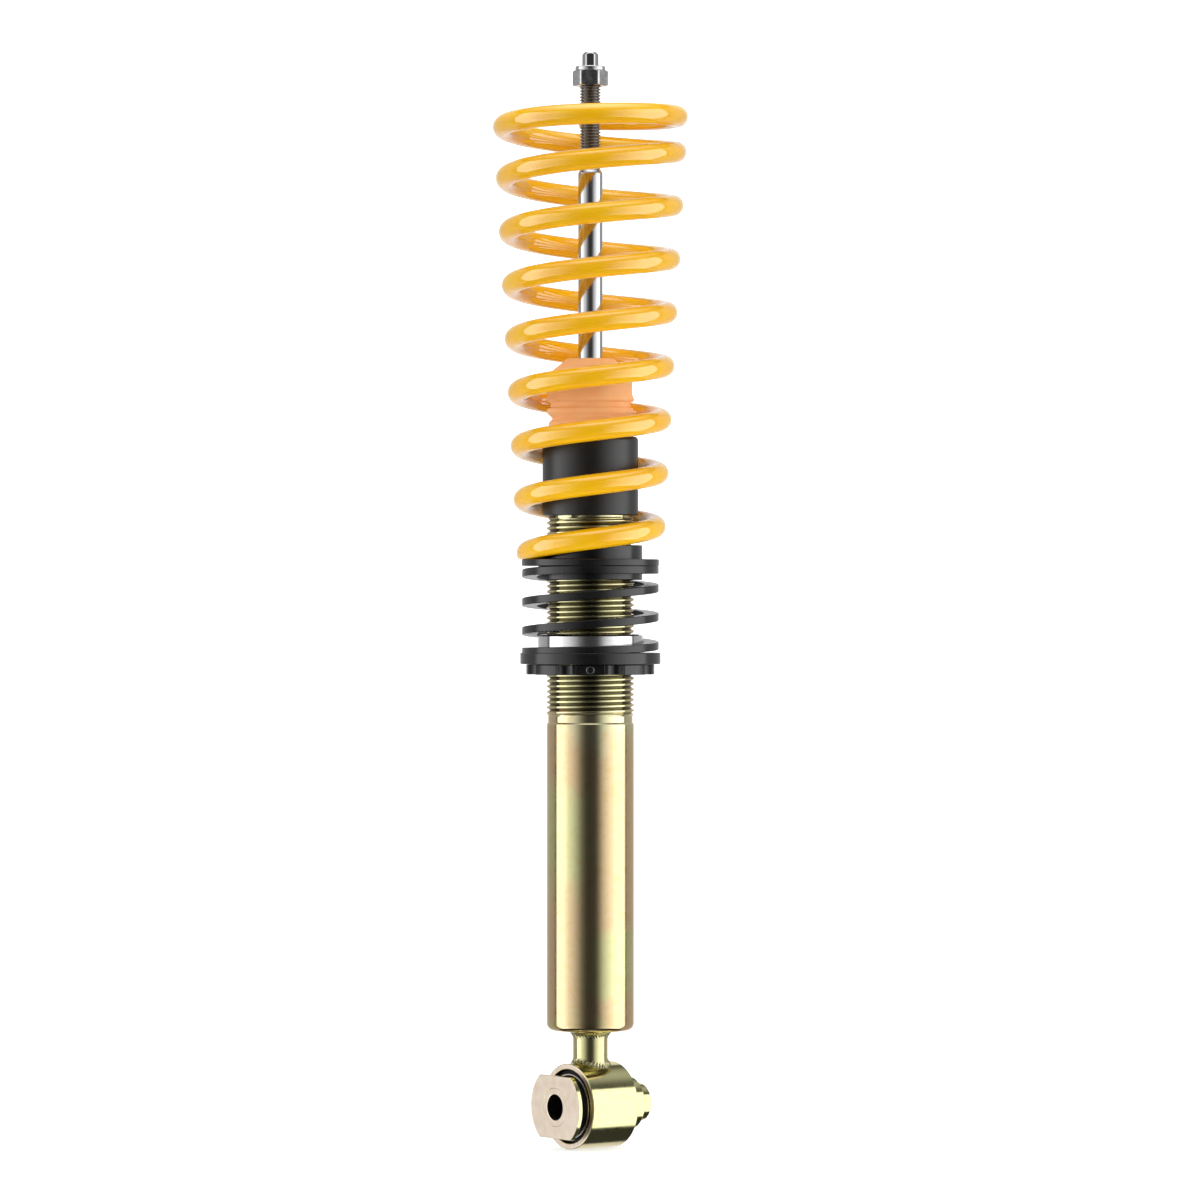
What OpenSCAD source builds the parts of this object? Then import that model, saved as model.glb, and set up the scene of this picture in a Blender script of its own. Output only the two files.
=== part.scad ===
// Rear coilover: a threaded twin-tube damper with an eye bush at its foot, a conical main
// spring, a flat-wire helper spring between them, and a screw collar that sets the height.
// The origin is the centre of the eye bush, and +Z runs up the damper's own axis.

/* [Body tube] */
// Outside diameter of the plain lower stretch of the tube
tube_d = 49.8; // [49:0.1:50]
// Outside diameter over the crests of the height thread
thread_d = 50; // [50:0.1:51]
// Depth of the height thread
thread_depth = 1.8; // [1:0.1:2]
// Pitch of the height thread
thread_pitch = 3; // [3:0.5:4]
// Height of the thread's lowest turn above the eye
thread_z = 222.6; // [215:0.1:230]
// Number of turns in the height thread
thread_turns = 37; // [33:1:37]
// Bore of the body tube
tube_bore_d = 43; // [42:0.5:43.5]
// Height of the closed lower end of the tube above the eye
base_z = 42.8; // [42:0.1:44]
// Height of the tube's upper end above the eye
tube_top_z = 371; // [371:1:375]

/* [Lower eye] */
// Outside diameter of the welded eye ring
eye_d = 48.8; // [48.5:0.1:50]
// Wall of the eye ring
eye_wall = 3.3; // [3:0.1:4]
// Length of the eye ring along the bolt
eye_length = 31.8; // [30:0.1:33]
// Turn of the eye's axis about the damper, from +X
eye_turn = 217; // [0:1:359]
// Diameter of the neck bar between the tube and the eye
neck_d = 19.8; // [18:0.1:21]

/* [Bush] */
// Bore of the bush for the lower bolt
bolt_bore_d = 14.5; // [14.2:0.1:15]
// Outside diameter of the bush's inner sleeve
sleeve_d = 21.7; // [21:0.1:22]
// Reach of the inner sleeve on the washer's side
sleeve_front = 25.2; // [24:0.1:27]
// Reach of the inner sleeve on the other side
sleeve_back = 36.6; // [34:0.1:38]
// Diameter of the washer with two flats
washer_d = 46; // [44:0.5:47]
// Distance across the washer's two flats
washer_flats = 35.6; // [34:0.1:40]
// Thickness of the washer
washer_t = 2.5; // [2:0.1:4]
// Outside diameter of the distance collar behind the bush
distance_d = 30.6; // [29:0.1:32]

/* [Height collar] */
// Outside diameter of the adjuster ring
ring_d = 73.2; // [73:0.1:74]
// Height of the adjuster ring's underside above the eye
ring_z = 245.5; // [244:0.1:247]
// Thickness of the adjuster ring
ring_t = 5.6; // [5:0.1:5.9]
// Number of spanner notches round the adjuster ring
notches = 8; // [4:4:8]
// Outside diameter of the spring plate
plate_d = 80; // [79:0.5:82]
// Thickness of the spring plate
plate_t = 6.5; // [6:0.1:7]
// Outside diameter of the bright centring sleeve
centring_d = 60; // [59:0.1:60.2]
// Height of the centring sleeve above the spring plate
centring_h = 10.5; // [9:0.1:11]

/* [Helper spring] */
// Outside diameter of the flat-wire helper spring
helper_d = 78; // [77:0.5:78.5]
// Radial width of the flat wire
helper_wire_w = 8.5; // [8:0.1:8.6]
// Thickness of the flat wire along the axis
helper_wire_t = 4.5; // [4:0.1:4.6]
// Free height of the helper spring
helper_h = 49.4; // [49:0.1:51]
// Pitch of the helper spring's open turns
helper_pitch = 16.4; // [16:0.1:17]

/* [Spring adapter] */
// Outside diameter of the adapter's flange
flange_d = 78.4; // [78:0.1:80]
// Thickness of the adapter's flange
flange_t = 3.8; // [3.5:0.1:4]
// Outside diameter of the adapter's two collars
collar_d = 59.4; // [59:0.1:59.6]
// Reach of each collar past the flange
collar_h = 8; // [7:0.1:9]
// Bore of the adapter
adapter_bore_d = 56.5; // [56.2:0.1:57]

/* [Main spring] */
// Diameter of the main spring's round wire
wire_d = 12; // [11:0.5:12]
// Radius of the wire's centre line at the small lower end
coil_r_low = 36.2; // [36.2:0.1:37]
// Radius of the wire's centre line at the large upper end
coil_r_high = 49.7; // [48:0.1:51]
// Pitch of the open turns
coil_pitch = 30.5; // [29:0.1:31]

/* [Rod] */
// Diameter of the chromed piston rod
rod_d = 14; // [13.9:0.01:14.02]
// Height of the rod's shoulder above the eye
shoulder_z = 533; // [530:0.5:536]
// Diameter of the rod's upper thread
stud_d = 12; // [11.9:0.1:12]
// Pitch of the rod's upper thread
stud_pitch = 1.75; // [1.5:0.25:1.75]
// Height of the rod's tip above the eye
rod_tip_z = 600.2; // [598:0.1:602]
// Width across the flats of the key end at the rod's tip
key_flats = 8.4; // [8:0.1:9]
// Width across the flats of the top nut
nut_flats = 18; // [17:0.5:19]
// Height of the top nut's underside above the eye
nut_z = 580.8; // [578:0.1:582]

/* [Bump stop] */
// Height of the strike cap's lower edge above the eye
cap_z = 336; // [335.5:0.1:337]
// Outside diameter of the strike cap
cap_d = 54.6; // [54:0.1:55]
// Height of the strike cap
cap_h = 45; // [45:0.1:46]
// Height of the bump stop's flat top above the eye
bump_top_z = 425.3; // [425:0.1:427]

/* [Fits] */
// Radial clearance of the running fits
run_gap = 0.05; // [0.02:0.01:0.08]
// Gap between faces that part when a joint moves
face_gap = 0.3; // [0.2:0.05:0.4]

/* [Hidden] */
$fn = 96;

zinc_gold = "#d8c67c";
satin_black = "#38383a";
bright_steel = "#c9cacb";
dark_rubber = "#1e1e1f";
spring_yellow = "#f0ae12";
foam_orange = "#eba36a";

// Body tube: plain length, relief below the thread, thread, and bare neck above it
tube_r = tube_d / 2;
crest_r = thread_d / 2;
root_r = crest_r - thread_depth;
relief_r = tube_r - 0.75;
bore_r = tube_bore_d / 2;
relief_h = 5.3;
thread_top_z = thread_z + thread_turns * thread_pitch;
crest_w = 0.3 * thread_pitch;
flank_w = 0.3 * thread_pitch;
base_round = 4;
tube_foot_z = base_z + base_round;
spigot_top_z = tube_foot_z + 7;

// Eye and bush, along the bolt
eye_r = eye_d / 2;
eye_bore_r = eye_r - eye_wall;
neck_r = neck_d / 2;
shell_r = 18.6;
shell_wall = 0.9;
shell_length = 30;
rubber_length = 27;
sleeve_r = sleeve_d / 2;

// Damper insides
pressure_r = 15;
pressure_wall = 1;
valve_flange_z = spigot_top_z;
valve_flange_t = 4;
valve_top_z = valve_flange_z + 12;
guide_z = 352;
guide_t = 10;
cap_seat_z = guide_z + guide_t;
guide_spigot_z = 344;
bush_bore_r = rod_d / 2 + run_gap;
bush_wall = 0.95;
piston_z = 302;
piston_h = 16;
piston_spigot_r = 5;
rod_seat_z = 324;
rebound_z = 325;

// Strike cap and bump stop
cap_r = cap_d / 2;
cap_top_z = cap_z + cap_h;
cap_recess_r = 20.6;
cap_recess_h = 5;
bump_foot_z = cap_top_z - cap_recess_h + face_gap;
bump_foot_r = cap_recess_r - 0.6;

// Height collar stack
ring_r = ring_d / 2;
collar_bore_r = crest_r + run_gap;
ring_top_z = ring_z + ring_t;
plate_z = ring_top_z + face_gap;
plate_top_z = plate_z + plate_t;
centring_r = centring_d / 2;
centring_wall = 2.4;
centring_foot_z = plate_z + 2.5;
screw_r = 2.5;
screw_land = 1;
helper_r = helper_d / 2;
flange_z = plate_top_z + helper_h;
flange_top_z = flange_z + flange_t;

// Main spring: turns are counted from the left side (-X) of its lowest full coil
wire_r = wire_d / 2;
spring_turn_low = -0.27;
spring_turn_high = 8.77;
spring_z0 = flange_top_z + 3.5;
end_turn_from = 7.78;
end_turn_to = 8.2;
end_pitch = 10;
spring_seat = 0.02;

// Rod end
stud_r = stud_d / 2;
stud_root_r = stud_r - 0.61 * stud_pitch;
stud_turns = floor((nut_z - shoulder_z - 1) / stud_pitch);
nut_hex_h = 8.8;
nut_collar_h = 2.4;
nut_top_z = nut_z + nut_hex_h + nut_collar_h;

function across_flats(f) = f / 2 / cos(30);

// Ring of width h from radius r1 out to r2, standing on z
module ring(r1, r2, z, h) {
    translate([0, 0, z])
        difference() {
            cylinder(r = r2, h = h);
            translate([0, 0, -1]) cylinder(r = r1, h = h + 2);
        }
}

// Children lie along the eye's axis instead of +Z, with the washer's side up
module along_eye() {
    rotate([0, 0, eye_turn]) rotate([0, 90, 0]) children();
}

// The two edges of one thread groove in the outline of a turned thread, at height z
function groove(z, crest, root) = [
    [crest, z + crest_w],
    [root, z + crest_w + flank_w],
    [root, z + thread_pitch - flank_w],
    [crest, z + thread_pitch]
];

// Closed solid through a list of rings that all have the same number of points
module sweep(rings) {
    n = len(rings[0]);
    last = len(rings) - 1;
    polyhedron(
        points = [for (r = rings) each r],
        faces = concat(
            [[for (i = [n - 1 : -1 : 0]) i]],
            [for (k = [0 : last - 1], i = [0 : n - 1])
                [k * n + i, k * n + (i + 1) % n, (k + 1) * n + i]],
            [for (k = [0 : last - 1], i = [0 : n - 1])
                [k * n + (i + 1) % n, (k + 1) * n + (i + 1) % n, (k + 1) * n + i]],
            [[for (i = [0 : n - 1]) last * n + i]]
        )
    );
}

// Point of a coil's section: turn t, out along the radius, up across the wire's slope
function coil_point(t, r, z, out, up, slope) =
    let (a = 180 + 360 * t)
    [(r + out) * cos(a) + up * sin(slope) * sin(a),
     (r + out) * sin(a) - up * sin(slope) * cos(a),
     z + up * cos(slope)];

// ---------------------------------------------------------------- damper body

module outer_tube() {
    color(zinc_gold)
        rotate_extrude()
            polygon(concat(
                [[bore_r, tube_foot_z], [tube_r, tube_foot_z],
                 [tube_r, thread_z - relief_h], [relief_r, thread_z - relief_h + 1],
                 [relief_r, thread_z - 0.4], [crest_r, thread_z]],
                [for (i = [0 : thread_turns - 1])
                    each groove(thread_z + i * thread_pitch, crest_r, root_r)],
                [[crest_r - 0.3, thread_top_z + 0.2], [root_r, thread_top_z + 1.2],
                 [root_r, tube_top_z - 1], [root_r - 0.6, tube_top_z],
                 [bore_r, tube_top_z]]
            ));
}

module base_cup() {
    color(zinc_gold)
        rotate_extrude()
            polygon(concat(
                [[0, base_z]],
                [for (a = [-90 : 10 : 0])
                    [tube_r - base_round + base_round * cos(a),
                     tube_foot_z + base_round * sin(a)]],
                [[bore_r, tube_foot_z], [bore_r, spigot_top_z],
                 [17, spigot_top_z], [14, spigot_top_z - 5], [0, spigot_top_z - 5]]
            ));
}

module neck_bar() {
    color(zinc_gold)
        difference() {
            translate([0, 0, eye_r / 2]) cylinder(r = neck_r, h = base_z - eye_r / 2);
            along_eye() translate([0, 0, -eye_length]) cylinder(r = eye_r, h = 2 * eye_length);
        }
}

module upper_weld() {
    color(zinc_gold)
        rotate_extrude()
            polygon(concat(
                [[neck_r, base_z], [neck_r, base_z - 4.8]],
                [for (a = [180 : -15 : 90])
                    [neck_r + 4.6 + 3.8 * cos(a), base_z - 4.4 + 4.2 * sin(a)]],
                [[neck_r + 4.6, base_z]]
            ));
}

module lower_weld() {
    color(zinc_gold)
        difference() {
            translate([0, 0, eye_r - 3.9])
                difference() {
                    cylinder(r1 = neck_r + 1.9, r2 = neck_r + 0.9, h = 6.2);
                    translate([0, 0, -1]) cylinder(r = neck_r, h = 9);
                }
            along_eye() translate([0, 0, -eye_length]) cylinder(r = eye_r, h = 2 * eye_length);
        }
}

module eye_ring() {
    color(zinc_gold)
        along_eye()
            rotate_extrude()
                polygon([
                    [eye_bore_r, -eye_length / 2], [eye_r - 0.5, -eye_length / 2],
                    [eye_r, -eye_length / 2 + 0.5], [eye_r, eye_length / 2 - 0.5],
                    [eye_r - 0.5, eye_length / 2], [eye_bore_r, eye_length / 2]
                ]);
}

module bush_outer_rubber() {
    color(dark_rubber)
        along_eye() ring(shell_r, eye_bore_r, -rubber_length / 2, rubber_length);
}

module bush_shell() {
    color(bright_steel)
        along_eye() ring(shell_r - shell_wall, shell_r, -shell_length / 2, shell_length);
}

module bush_rubber() {
    dish = 3;
    inner_r = sleeve_r + run_gap;
    outer_r = shell_r - shell_wall;
    color(dark_rubber)
        along_eye()
            rotate_extrude()
                polygon([
                    [inner_r, -rubber_length / 2], [inner_r + 2, -rubber_length / 2],
                    [outer_r - 2, -rubber_length / 2 + dish], [outer_r, -rubber_length / 2 + dish],
                    [outer_r, rubber_length / 2 - dish], [outer_r - 2, rubber_length / 2 - dish],
                    [inner_r + 2, rubber_length / 2], [inner_r, rubber_length / 2]
                ]);
}

// ---------------------------------------------------------------- damper insides

module pressure_tube() {
    tube_z = valve_flange_z + valve_flange_t;
    color(bright_steel)
        ring(pressure_r, pressure_r + pressure_wall, tube_z, guide_z - tube_z);
}

module foot_valve() {
    color("#8c8f92")
        difference() {
            translate([0, 0, valve_flange_z])
                union() {
                    cylinder(r = 18, h = valve_flange_t);
                    cylinder(r = pressure_r, h = valve_top_z - valve_flange_z);
                }
            translate([0, 0, valve_flange_z - 1]) cylinder(r = 3, h = 15);
            translate([0, 0, valve_flange_z - 1]) cylinder(r = 6, h = 5);
            for (a = [0 : 60 : 300])
                rotate([0, 0, a])
                    translate([9, 0, valve_flange_z - 1]) cylinder(r = 1.6, h = 15, $fn = 24);
        }
}

module foot_valve_bolt() {
    head_z = valve_flange_z + valve_flange_t - 4;
    color(bright_steel)
        translate([0, 0, head_z]) {
            cylinder(r = across_flats(9), h = 4, $fn = 6);
            cylinder(r = 3, h = valve_top_z + 7 - head_z);
        }
}

module foot_valve_shims() {
    color(bright_steel) {
        ring(3, 12, valve_top_z, 0.6);
        ring(3, 10, valve_top_z + 0.6, 0.4);
        ring(3, 8, valve_top_z + 1, 0.4);
    }
}

module foot_valve_nut() {
    color(bright_steel)
        difference() {
            translate([0, 0, valve_top_z + 1.4]) cylinder(r = across_flats(10), h = 5, $fn = 6);
            translate([0, 0, valve_top_z]) cylinder(r = 3, h = 9);
        }
}

module rod_guide() {
    color("#8c8f92")
        rotate_extrude()
            polygon([
                [bush_bore_r + bush_wall, guide_spigot_z], [pressure_r, guide_spigot_z],
                [pressure_r, guide_z], [bore_r, guide_z],
                [bore_r, guide_z + 3.5], [bore_r - 2, guide_z + 3.5],
                [bore_r - 2, guide_z + 6.5], [bore_r, guide_z + 6.5],
                [bore_r, cap_seat_z], [bush_bore_r + 0.4, cap_seat_z],
                [bush_bore_r + 0.4, cap_seat_z - 1.5],
                [bush_bore_r + bush_wall, cap_seat_z - 1.5]
            ]);
}

module guide_bush() {
    color("#a9793c")
        ring(bush_bore_r, bush_bore_r + bush_wall, guide_spigot_z + 1,
             cap_seat_z - 1.5 - guide_spigot_z - 1);
}

module guide_o_ring() {
    color(dark_rubber)
        translate([0, 0, guide_z + 5])
            rotate_extrude()
                translate([bore_r - 1, 0]) circle(r = 1, $fn = 32);
}

module rod_seal() {
    color(dark_rubber)
        rotate_extrude()
            polygon([
                [bush_bore_r + 0.6, cap_seat_z], [15, cap_seat_z], [15, cap_seat_z + 5],
                [bush_bore_r + 1.6, cap_seat_z + 5], [bush_bore_r, cap_seat_z + 3.6],
                [bush_bore_r, cap_seat_z + 2.4]
            ]);
}

module top_cap() {
    color(bright_steel)
        rotate_extrude()
            polygon([
                [15, cap_seat_z], [bore_r, cap_seat_z], [bore_r, tube_top_z],
                [9, tube_top_z], [9, cap_seat_z + 5], [15, cap_seat_z + 5]
            ]);
}

module strike_cap() {
    skirt_r = cap_r - 0.4;
    edge = 2.2;
    color(satin_black)
        rotate_extrude()
            polygon(concat(
                [[root_r, cap_z], [skirt_r, cap_z], [cap_r, cap_z + 0.4]],
                [for (a = [0 : 15 : 90])
                    [cap_r - edge + edge * cos(a), cap_top_z - edge + edge * sin(a)]],
                [[cap_recess_r, cap_top_z], [cap_recess_r, cap_top_z - cap_recess_h],
                 [9, cap_top_z - cap_recess_h], [9, tube_top_z], [root_r - 0.6, tube_top_z],
                 [root_r, tube_top_z - 1]]
            ));
}

// ---------------------------------------------------------------- rod

module piston_rod() {
    groove_w = 0.7 * stud_pitch;
    thread_from = shoulder_z + 1.2;
    rod_r = rod_d / 2;
    key_z = nut_top_z - 1;
    color(bright_steel) {
        rotate_extrude()
            polygon(concat(
                [[0, piston_z - 11], [piston_spigot_r - 0.6, piston_z - 11],
                 [piston_spigot_r, piston_z - 10.4], [piston_spigot_r, rod_seat_z],
                 [rod_r, rod_seat_z], [rod_r, shoulder_z - 1.8],
                 [stud_root_r + 0.9, shoulder_z], [stud_r, thread_from]],
                [for (i = [0 : stud_turns - 1])
                    each [[stud_r, thread_from + i * stud_pitch + 0.15 * stud_pitch],
                          [stud_root_r, thread_from + i * stud_pitch + groove_w / 2 + 0.2],
                          [stud_root_r, thread_from + i * stud_pitch + groove_w / 2 + 0.4],
                          [stud_r, thread_from + (i + 1) * stud_pitch - 0.1 * stud_pitch]]],
                [[stud_r, nut_top_z - 0.8], [stud_r - 0.8, nut_top_z], [0, nut_top_z]]
            ));
        intersection() {
            translate([0, 0, key_z])
                cylinder(r = across_flats(key_flats), h = rod_tip_z - key_z, $fn = 6);
            union() {
                translate([0, 0, key_z]) cylinder(r = 6, h = rod_tip_z - key_z - 1.7);
                translate([0, 0, rod_tip_z - 1.7]) cylinder(r1 = 5, r2 = 3.3, h = 1.7);
            }
        }
    }
}

module piston() {
    color("#8c8f92")
        difference() {
            rotate_extrude()
                polygon([
                    [piston_spigot_r, piston_z], [14.2, piston_z], [14.6, piston_z + 0.4],
                    [14.6, piston_z + 3], [14, piston_z + 3], [14, piston_z + 13],
                    [14.6, piston_z + 13], [14.6, piston_z + piston_h - 0.4],
                    [14.2, piston_z + piston_h], [piston_spigot_r, piston_z + piston_h]
                ]);
            for (a = [0 : 45 : 315])
                rotate([0, 0, a])
                    translate([9.5, 0, piston_z - 1]) cylinder(r = 1.5, h = piston_h + 2, $fn = 24);
        }
}

module piston_band() {
    color("#3c6b74")
        ring(14, pressure_r - run_gap, piston_z + 3, 10);
}

module bump_shims() {
    color(bright_steel) {
        ring(piston_spigot_r, 12.5, piston_z + piston_h, 0.8);
        ring(piston_spigot_r, 11, piston_z + piston_h + 0.8, 0.8);
        ring(piston_spigot_r, 9, piston_z + piston_h + 1.6,
             rod_seat_z - piston_z - piston_h - 1.6);
    }
}

module rebound_shims() {
    color(bright_steel) {
        ring(piston_spigot_r, 12.5, piston_z - 0.6, 0.6);
        ring(piston_spigot_r, 10.5, piston_z - 1.2, 0.6);
        ring(piston_spigot_r, 8.5, piston_z - 2, 0.8);
    }
}

module piston_nut() {
    color(bright_steel)
        difference() {
            translate([0, 0, piston_z - 10]) cylinder(r = across_flats(16), h = 8, $fn = 6);
            translate([0, 0, piston_z - 11]) cylinder(r = piston_spigot_r, h = 10);
        }
}

module rebound_collar() {
    color(bright_steel) ring(rod_d / 2, 11, rebound_z, 5.5);
}

module rebound_bumper() {
    color(dark_rubber)
        rotate_extrude()
            polygon([
                [rod_d / 2, rebound_z + 5.5], [11, rebound_z + 5.5], [12.5, rebound_z + 8],
                [12.5, rebound_z + 15], [11, guide_spigot_z - face_gap],
                [rod_d / 2, guide_spigot_z - face_gap]
            ]);
}

module top_nut() {
    collar_r = 8.6;
    color(bright_steel)
        rotate([0, 0, -3])
            difference() {
                union() {
                    intersection() {
                        translate([0, 0, nut_z])
                            cylinder(r = across_flats(nut_flats), h = nut_hex_h, $fn = 6);
                        translate([0, 0, nut_z])
                            rotate_extrude()
                                polygon([
                                    [0, 0], [9.3, 0], [11, 1], [11, nut_hex_h - 1],
                                    [9.3, nut_hex_h], [0, nut_hex_h]
                                ]);
                    }
                    translate([0, 0, nut_z + nut_hex_h]) cylinder(r = collar_r, h = nut_collar_h);
                }
                translate([0, 0, nut_z - 1]) cylinder(r = stud_r, h = nut_hex_h + nut_collar_h + 2);
            }
}

// ---------------------------------------------------------------- bump stop

module bump_stop() {
    bore_r = rod_d / 2 + run_gap;
    top = bump_top_z;
    color(foam_orange)
        rotate_extrude()
            polygon([
                [bore_r, bump_foot_z], [bump_foot_r - 1, bump_foot_z],
                [bump_foot_r, bump_foot_z + 1], [bump_foot_r, top - 43.3], [22.6, top - 42.6],
                [24, top - 37.4], [23.4, top - 35.8], [21.4, top - 34.2], [23.6, top - 32],
                [24.7, top - 31], [24.7, top - 28.6], [22.7, top - 27.6], [22.7, top - 25],
                [25, top - 24], [25.1, top - 23.2], [24.4, top - 21.6], [23.9, top - 20],
                [23.9, top - 10], [23.3, top - 8.4], [21.6, top - 6.6], [13.8, top - 0.4],
                [13.1, top], [bore_r, top]
            ]);
}

// ---------------------------------------------------------------- height collar

module adjuster_ring() {
    notch_r = 6.2;
    land_depth = 10;
    color(satin_black)
        difference() {
            translate([0, 0, ring_z]) cylinder(r = ring_r, h = ring_t);
            translate([0, 0, ring_z - 1]) cylinder(r = collar_bore_r, h = ring_t + 2);
            for (i = [0 : notches - 1])
                rotate([0, 0, 22.5 + i * 360 / notches])
                    translate([ring_r + 1.6, 0, ring_z - 1]) cylinder(r = notch_r, h = ring_t + 2);
            translate([-15, -ring_r - land_depth + screw_land, ring_z - 1])
                cube([30, land_depth, ring_t + 2]);
            translate([0, 0, ring_z + ring_t / 2])
                rotate([90, 0, 0]) cylinder(r = screw_r, h = ring_r + 5);
        }
}

module lock_screw() {
    outer = ring_r - screw_land - 0.2;
    inner = collar_bore_r + 2.6;
    color(bright_steel)
        translate([0, 0, ring_z + ring_t / 2])
            rotate([90, 0, 0])
                difference() {
                    translate([0, 0, inner]) cylinder(r = screw_r, h = outer - inner);
                    translate([0, 0, outer - 2.5]) cylinder(r = across_flats(2.5), h = 3, $fn = 6);
                }
}

// Round pad between the lock screw and the thread, with a hollow end that clears the crests
module lock_pad() {
    inner = collar_bore_r;
    color("#e8e4d4")
        difference() {
            translate([0, 0, ring_z + ring_t / 2])
                rotate([90, 0, 0])
                    translate([0, 0, inner - 0.3]) cylinder(r = screw_r, h = 2.9);
            translate([0, 0, ring_z - 1]) cylinder(r = collar_bore_r, h = ring_t + 2);
        }
}

module spring_plate() {
    color(satin_black)
        rotate_extrude()
            polygon([
                [collar_bore_r, plate_z], [plate_d / 2 - 0.4, plate_z],
                [plate_d / 2, plate_z + 0.4], [plate_d / 2, plate_top_z - 0.4],
                [plate_d / 2 - 0.4, plate_top_z], [centring_r, plate_top_z],
                [centring_r, centring_foot_z], [collar_bore_r, centring_foot_z]
            ]);
}

module centring_sleeve() {
    top_z = plate_top_z + centring_h;
    inner_r = centring_r - centring_wall;
    color(bright_steel)
        rotate_extrude()
            polygon([
                [inner_r, centring_foot_z], [centring_r, centring_foot_z],
                [centring_r, top_z - 1], [centring_r - 1, top_z], [inner_r + 0.4, top_z],
                [inner_r, top_z - 0.4]
            ]);
}

// ---------------------------------------------------------------- springs

// Height of the flat wire's middle at turn t: closed turns at both ends, open between them,
// with a parabola of half-width bend joining each pair of straight stretches. The lowest turn
// is ground flat underneath, so its middle sits lower towards the end of the wire
helper_low = plate_top_z + helper_wire_t / 2 + spring_seat;
helper_high = flange_z - helper_wire_t / 2 - spring_seat;
helper_from = 0.39;
helper_to = helper_from + (helper_high - helper_low) / helper_pitch;
helper_bend = 0.12;
helper_ground = 1.6;
function ramp(t) =
    t <= -helper_bend ? 0 :
    t >= helper_bend ? t :
    pow(t + helper_bend, 2) / (4 * helper_bend);
function helper_z(t) =
    helper_low + helper_pitch * (ramp(t - helper_from) - ramp(t - helper_to))
    - helper_ground * min(1, max(0, (0.4 - t) / 0.36));

module helper_spring() {
    per_turn = 24;
    turn_low = -0.3;
    turn_high = helper_to + 0.62;
    steps = ceil((turn_high - turn_low) * per_turn);
    w = helper_wire_w / 2;
    h = helper_wire_t / 2;
    color(satin_black)
        sweep([for (k = [0 : steps])
            let (t = turn_low + (turn_high - turn_low) * k / steps)
            [for (c = [[-w, -h], [w, -h], [w, h], [-w, h]])
                coil_point(t, helper_r - w, 0, c[0],
                           max(helper_z(t) + c[1], helper_low - h), 0)]]);
}

module spring_adapter() {
    collar_r = collar_d / 2;
    inner_r = adapter_bore_d / 2;
    color(satin_black)
        rotate_extrude()
            polygon([
                [inner_r, flange_z - collar_h], [collar_r - 0.5, flange_z - collar_h],
                [collar_r, flange_z - collar_h + 0.5], [collar_r, flange_z],
                [flange_d / 2 - 0.4, flange_z], [flange_d / 2, flange_z + 0.4],
                [flange_d / 2, flange_top_z - 0.4], [flange_d / 2 - 0.4, flange_top_z],
                [collar_r, flange_top_z], [collar_r, flange_top_z + collar_h - 0.5],
                [collar_r - 0.5, flange_top_z + collar_h], [inner_r, flange_top_z + collar_h]
            ]);
}

// Main spring's centre line: radius grows evenly up to the last coil, and the last coil
// lies nearly flat, its slope easing from the open pitch to the end pitch
coil_growth = (coil_r_high - coil_r_low) / 8;
function coil_r(t) = min(coil_r_high, coil_r_low + coil_growth * max(0, t));
function coil_z(t) =
    let (span = end_turn_to - end_turn_from,
         bend = min(max(t - end_turn_from, 0), span),
         past = max(t - end_turn_to, 0))
    spring_z0 + coil_pitch * min(t, end_turn_from)
        + coil_pitch * bend + (end_pitch - coil_pitch) * bend * bend / (2 * span)
        + end_pitch * past;

// Point i of the wire's round section, cut level where the end is ground on its seat
function wire_point(t, i, sides) =
    let (a = 360 * i / sides,
         seat = flange_top_z + spring_seat,
         h = max(-1, min(1, (seat - coil_z(t)) / wire_r)),
         chord = sqrt(1 - h * h),
         x = sin(a) < h ? max(-chord, min(chord, cos(a))) : cos(a),
         y = max(sin(a), h),
         slope = atan(coil_pitch / (2 * PI * coil_r(t))),
         p = coil_point(t, coil_r(t), coil_z(t), wire_r * x, wire_r * y, slope))
    [p[0], p[1], max(p[2], seat)];

module main_spring() {
    per_turn = 24;
    sides = 12;
    steps = ceil((spring_turn_high - spring_turn_low) * per_turn);
    color(spring_yellow)
        sweep([for (k = [0 : steps])
            let (t = spring_turn_low + (spring_turn_high - spring_turn_low) * k / steps)
            [for (i = [0 : sides - 1]) wire_point(t, i, sides)]]);
}

// ---------------------------------------------------------------- bush sleeve

module bush_sleeve() {
    edge = 1.2;
    color(zinc_gold)
        along_eye()
            rotate_extrude()
                polygon([
                    [bolt_bore_d / 2, -sleeve_back], [sleeve_r - edge, -sleeve_back],
                    [sleeve_r, -sleeve_back + edge], [sleeve_r, sleeve_front],
                    [bolt_bore_d / 2, sleeve_front]
                ]);
}

module bush_washer() {
    color(zinc_gold)
        along_eye()
            intersection() {
                ring(sleeve_r, washer_d / 2, sleeve_front - washer_t, washer_t);
                translate([-washer_flats / 2, -washer_d, sleeve_front - washer_t - 1])
                    cube([washer_flats, 2 * washer_d, washer_t + 2]);
            }
}

module distance_collar() {
    edge = 0.8;
    reach = 28.2;
    color(zinc_gold)
        along_eye()
            rotate_extrude()
                polygon([
                    [sleeve_r, -reach], [distance_d / 2 - edge, -reach],
                    [distance_d / 2, -reach + edge], [distance_d / 2, -eye_length / 2 - 1.5],
                    [sleeve_r, -eye_length / 2 - 1.5]
                ]);
}

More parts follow.
